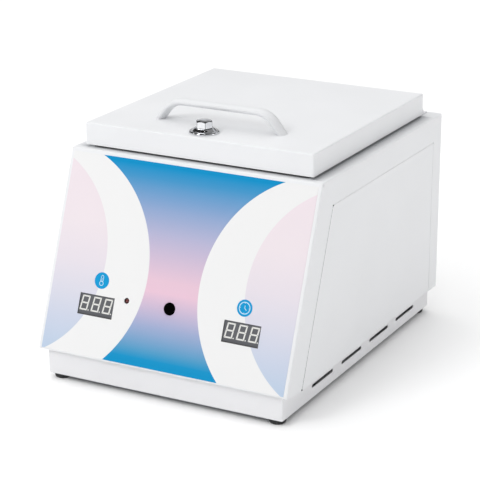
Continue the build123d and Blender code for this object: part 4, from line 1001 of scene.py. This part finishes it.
def signs():
    """Thermometer and clock drawn in white strokes on blue discs."""
    left = Vector((-75.7 * mm, 74.9 * mm, 0))
    right = Vector((76.9 * mm, 74.1 * mm, 0))
    sign_disc("sign_disc_left", left.x, left.y)
    sign_disc("sign_disc_right", right.x, right.y)
    h = 0.35 * mm

    def on(middle, across, up):
        return middle + Vector((across * mm, up * mm, 0))

    strokes = [
        bar_between("stem_left", on(left, -1.25, -0.7), on(left, -1.25, 4.0), 0.55 * mm, h),
        bar_between("stem_right", on(left, 1.25, -0.7), on(left, 1.25, 4.0), 0.55 * mm, h),
        bar_between("stem_cap_left", on(left, -1.2, 4.1), on(left, -0.3, 5.1), 0.55 * mm, h),
        bar_between("stem_cap_right", on(left, 1.2, 4.1), on(left, 0.3, 5.1), 0.55 * mm, h),
        bar_between("stem_cap", on(left, -0.4, 5.15), on(left, 0.4, 5.15), 0.55 * mm, h),
        bar_between("column", on(left, 0, -1.2), on(left, 0, 2.4), 0.45 * mm, h + 0.02 * mm),
        ring("bulb_ring", 2.30 * mm, 1.70 * mm, on(left, 0, -2.7) + Vector((0, 0, h))),
    ]
    thermometer = joined("sign_thermometer", strokes)
    leaning = Matrix.Translation(left) @ Matrix.Rotation(radians(-2.5), 4, "Z") @ Matrix.Translation(-left)
    placed(thermometer, panel @ leaning)
    finish_with(thermometer, sign_stroke, "cabinet")
    strokes = [
        ring("dial_ring", 5.75 * mm, 5.0 * mm, on(right, 0, 0) + Vector((0, 0, h))),
        bar_between("short_hand", on(right, 0, 0), on(right, 0.1, 2.5), 0.6 * mm, h),
        bar_between("long_hand", on(right, 0, 0), on(right, 2.2, -2.0), 0.6 * mm, h + 0.02 * mm),
    ]
    for i, (across, up) in enumerate([(0, 1), (1, 0), (0, -1), (-1, 0)]):
        outer, inner = on(right, across * 4.9, up * 4.9), on(right, across * 4.2, up * 4.2)
        strokes.append(bar_between(f"hour_mark_{i}", inner, outer, 0.6 * mm, h + 0.02 * mm))
    clock = joined("sign_clock", strokes)
    placed(clock, panel)
    finish_with(clock, sign_stroke, "cabinet")


signs()


# Rocker of the mains switch, with a bar and a ring for on and off
def rocker():
    obj = refined("rocker", 0.0004, 3)
    finish_with(obj, black_plastic, "rocker")

    def on_face(mark, y, z, lean):
        """Lays a mark on the rocker's face at y and z, leaning as the face does there, in degrees."""
        spot = Matrix.Translation((-70.0 * mm, y * mm, z * mm))
        placed(mark, spot @ Matrix.Rotation(radians(lean), 4, "X") @ facing_back)
        finish_with(mark, sign_white, "rocker")

    on_face(bar_between("mark_on", (0, -1.9 * mm, 0), (0, 1.9 * mm, 0), 0.9 * mm, 0), 174.93, 59.3, -0.75)
    on_face(ring("mark_off", 2.0 * mm, 1.3 * mm, (0, 0, 0)), 176.25, 48.75, 13.3)


rocker()


# Floor, light and camera
def studio():
    object_mode()
    bpy.ops.mesh.primitive_plane_add(size=12, location=(0, 0, 0))
    floor = named("floor")
    material, tree, shader = blank("floor_white", (0.97, 0.97, 0.97), 0.9)
    shader.inputs["Specular IOR Level"].default_value = 0.0
    cloud = node_of(tree, "ShaderNodeTexNoise")
    cloud.inputs["Scale"].default_value = 3.0
    tone = between(tree, cloud.outputs["Fac"], (0.96, 0.96, 0.96), (0.98, 0.98, 0.98))
    link(tree, tone, shader.inputs["Base Color"])
    floor.data.materials.append(material)

    world = bpy.data.worlds.new("studio_air")
    bpy.context.scene.world = world
    world.use_nodes = True
    air = world.node_tree
    view = node_of(air, "ShaderNodeTexCoord").outputs["Generated"]
    axes = axes_of(air, view)

    # soft light for what is matt, and a dark ceiling over pale walls for what is polished to mirror
    soft = grey_ramp(air, axes["Z"], [
        (0.0, 0.05), (1.0, 1.0), (0.08, 0.06), (0.22, 0.20), (0.34, 0.46), (0.55, 0.92),
    ])
    walls = grey_ramp(air, axes["Z"], [
        (0.0, 0.50), (1.0, 0.01), (0.16, 0.40), (0.34, 0.26), (0.42, 0.03), (0.70, 0.01),
    ])

    def towards(direction, low, high, far, near):
        """A value that goes from far to near as the sky turns to a direction."""
        facing = node_of(air, "ShaderNodeVectorMath", operation="DOT_PRODUCT")
        link(air, view, facing.inputs[0])
        facing.inputs[1].default_value = direction
        spread = node_of(air, "ShaderNodeMapRange", interpolation_type="SMOOTHSTEP")
        for socket, value in (("From Min", low), ("From Max", high), ("To Min", far), ("To Max", near)):
            spread.inputs[socket].default_value = value
        link(air, facing.outputs["Value"], spread.inputs["Value"])
        return spread.outputs[0]

    # what is matt sees a dim stretch of sky to the right
    shade = plain_colour(air, (0.10, 0.10, 0.10))
    soft = mixed(air, towards((0.80, 0.10, 0.59), 0.35, 0.85, 0.0, 0.55), soft, shade)

    # what mirrors sees dark gaps in the walls all round
    turn = maths(air, "ARCTAN2", axes["Y"], axes["X"])
    stripe = maths(air, "SINE", maths(air, "MULTIPLY", turn, 5.0))
    gap = maths(air, "GREATER_THAN", stripe, 0.72)
    walls = mixed(air, gap, walls, plain_colour(air, (0.03, 0.03, 0.03)))

    # and what lies beyond the floor is a pale backdrop
    ray = node_of(air, "ShaderNodeLightPath")
    both = mixed(air, ray.outputs["Is Glossy Ray"], soft, walls)
    both = mixed(air, ray.outputs["Is Camera Ray"], both, plain_colour(air, (0.72, 0.72, 0.72)))
    link(air, both, air.nodes["Background"].inputs["Color"])
    air.nodes["Background"].inputs["Strength"].default_value = 1.40

    def lamp(name, spot, target, size, power):
        bpy.ops.object.light_add(type="AREA", location=spot)
        light = bpy.context.object
        light.name = name
        light.data.size = size
        light.data.energy = power
        light.rotation_euler = (Vector(target) - Vector(spot)).to_track_quat("-Z", "Y").to_euler()

    lamp("key_light", (-0.6, -1.7, 1.5), (0, 0, 0.15), 0.7, 11)
    lamp("left_spot", (-1.7, -0.9, 1.3), (0, 0, 0.2), 0.4, 1.6)
    lamp("front_spot", (0.5, -0.8, 2.2), (0, 0, 0.2), 0.30, 1.0)
    lamp("side_fill", (2.0, 0.3, 0.45), (0, 0, 0.20), 0.6, 4.4)
    lamp("top_light", (0, 2.4, 2.8), (0, 2.4, 0), 5.0, 21)

    bpy.ops.object.camera_add(location=(0.8078, -1.5388, 0.6916))
    camera = bpy.context.object
    camera.name = "photo_camera"
    camera.rotation_euler = (radians(71.45), 0, radians(27.95))
    camera.data.lens = 138.3
    camera.data.sensor_width = 36.0
    camera.data.clip_start = 0.05
    bpy.context.scene.camera = camera
    bpy.context.scene.view_settings.view_transform = "Standard"


studio()
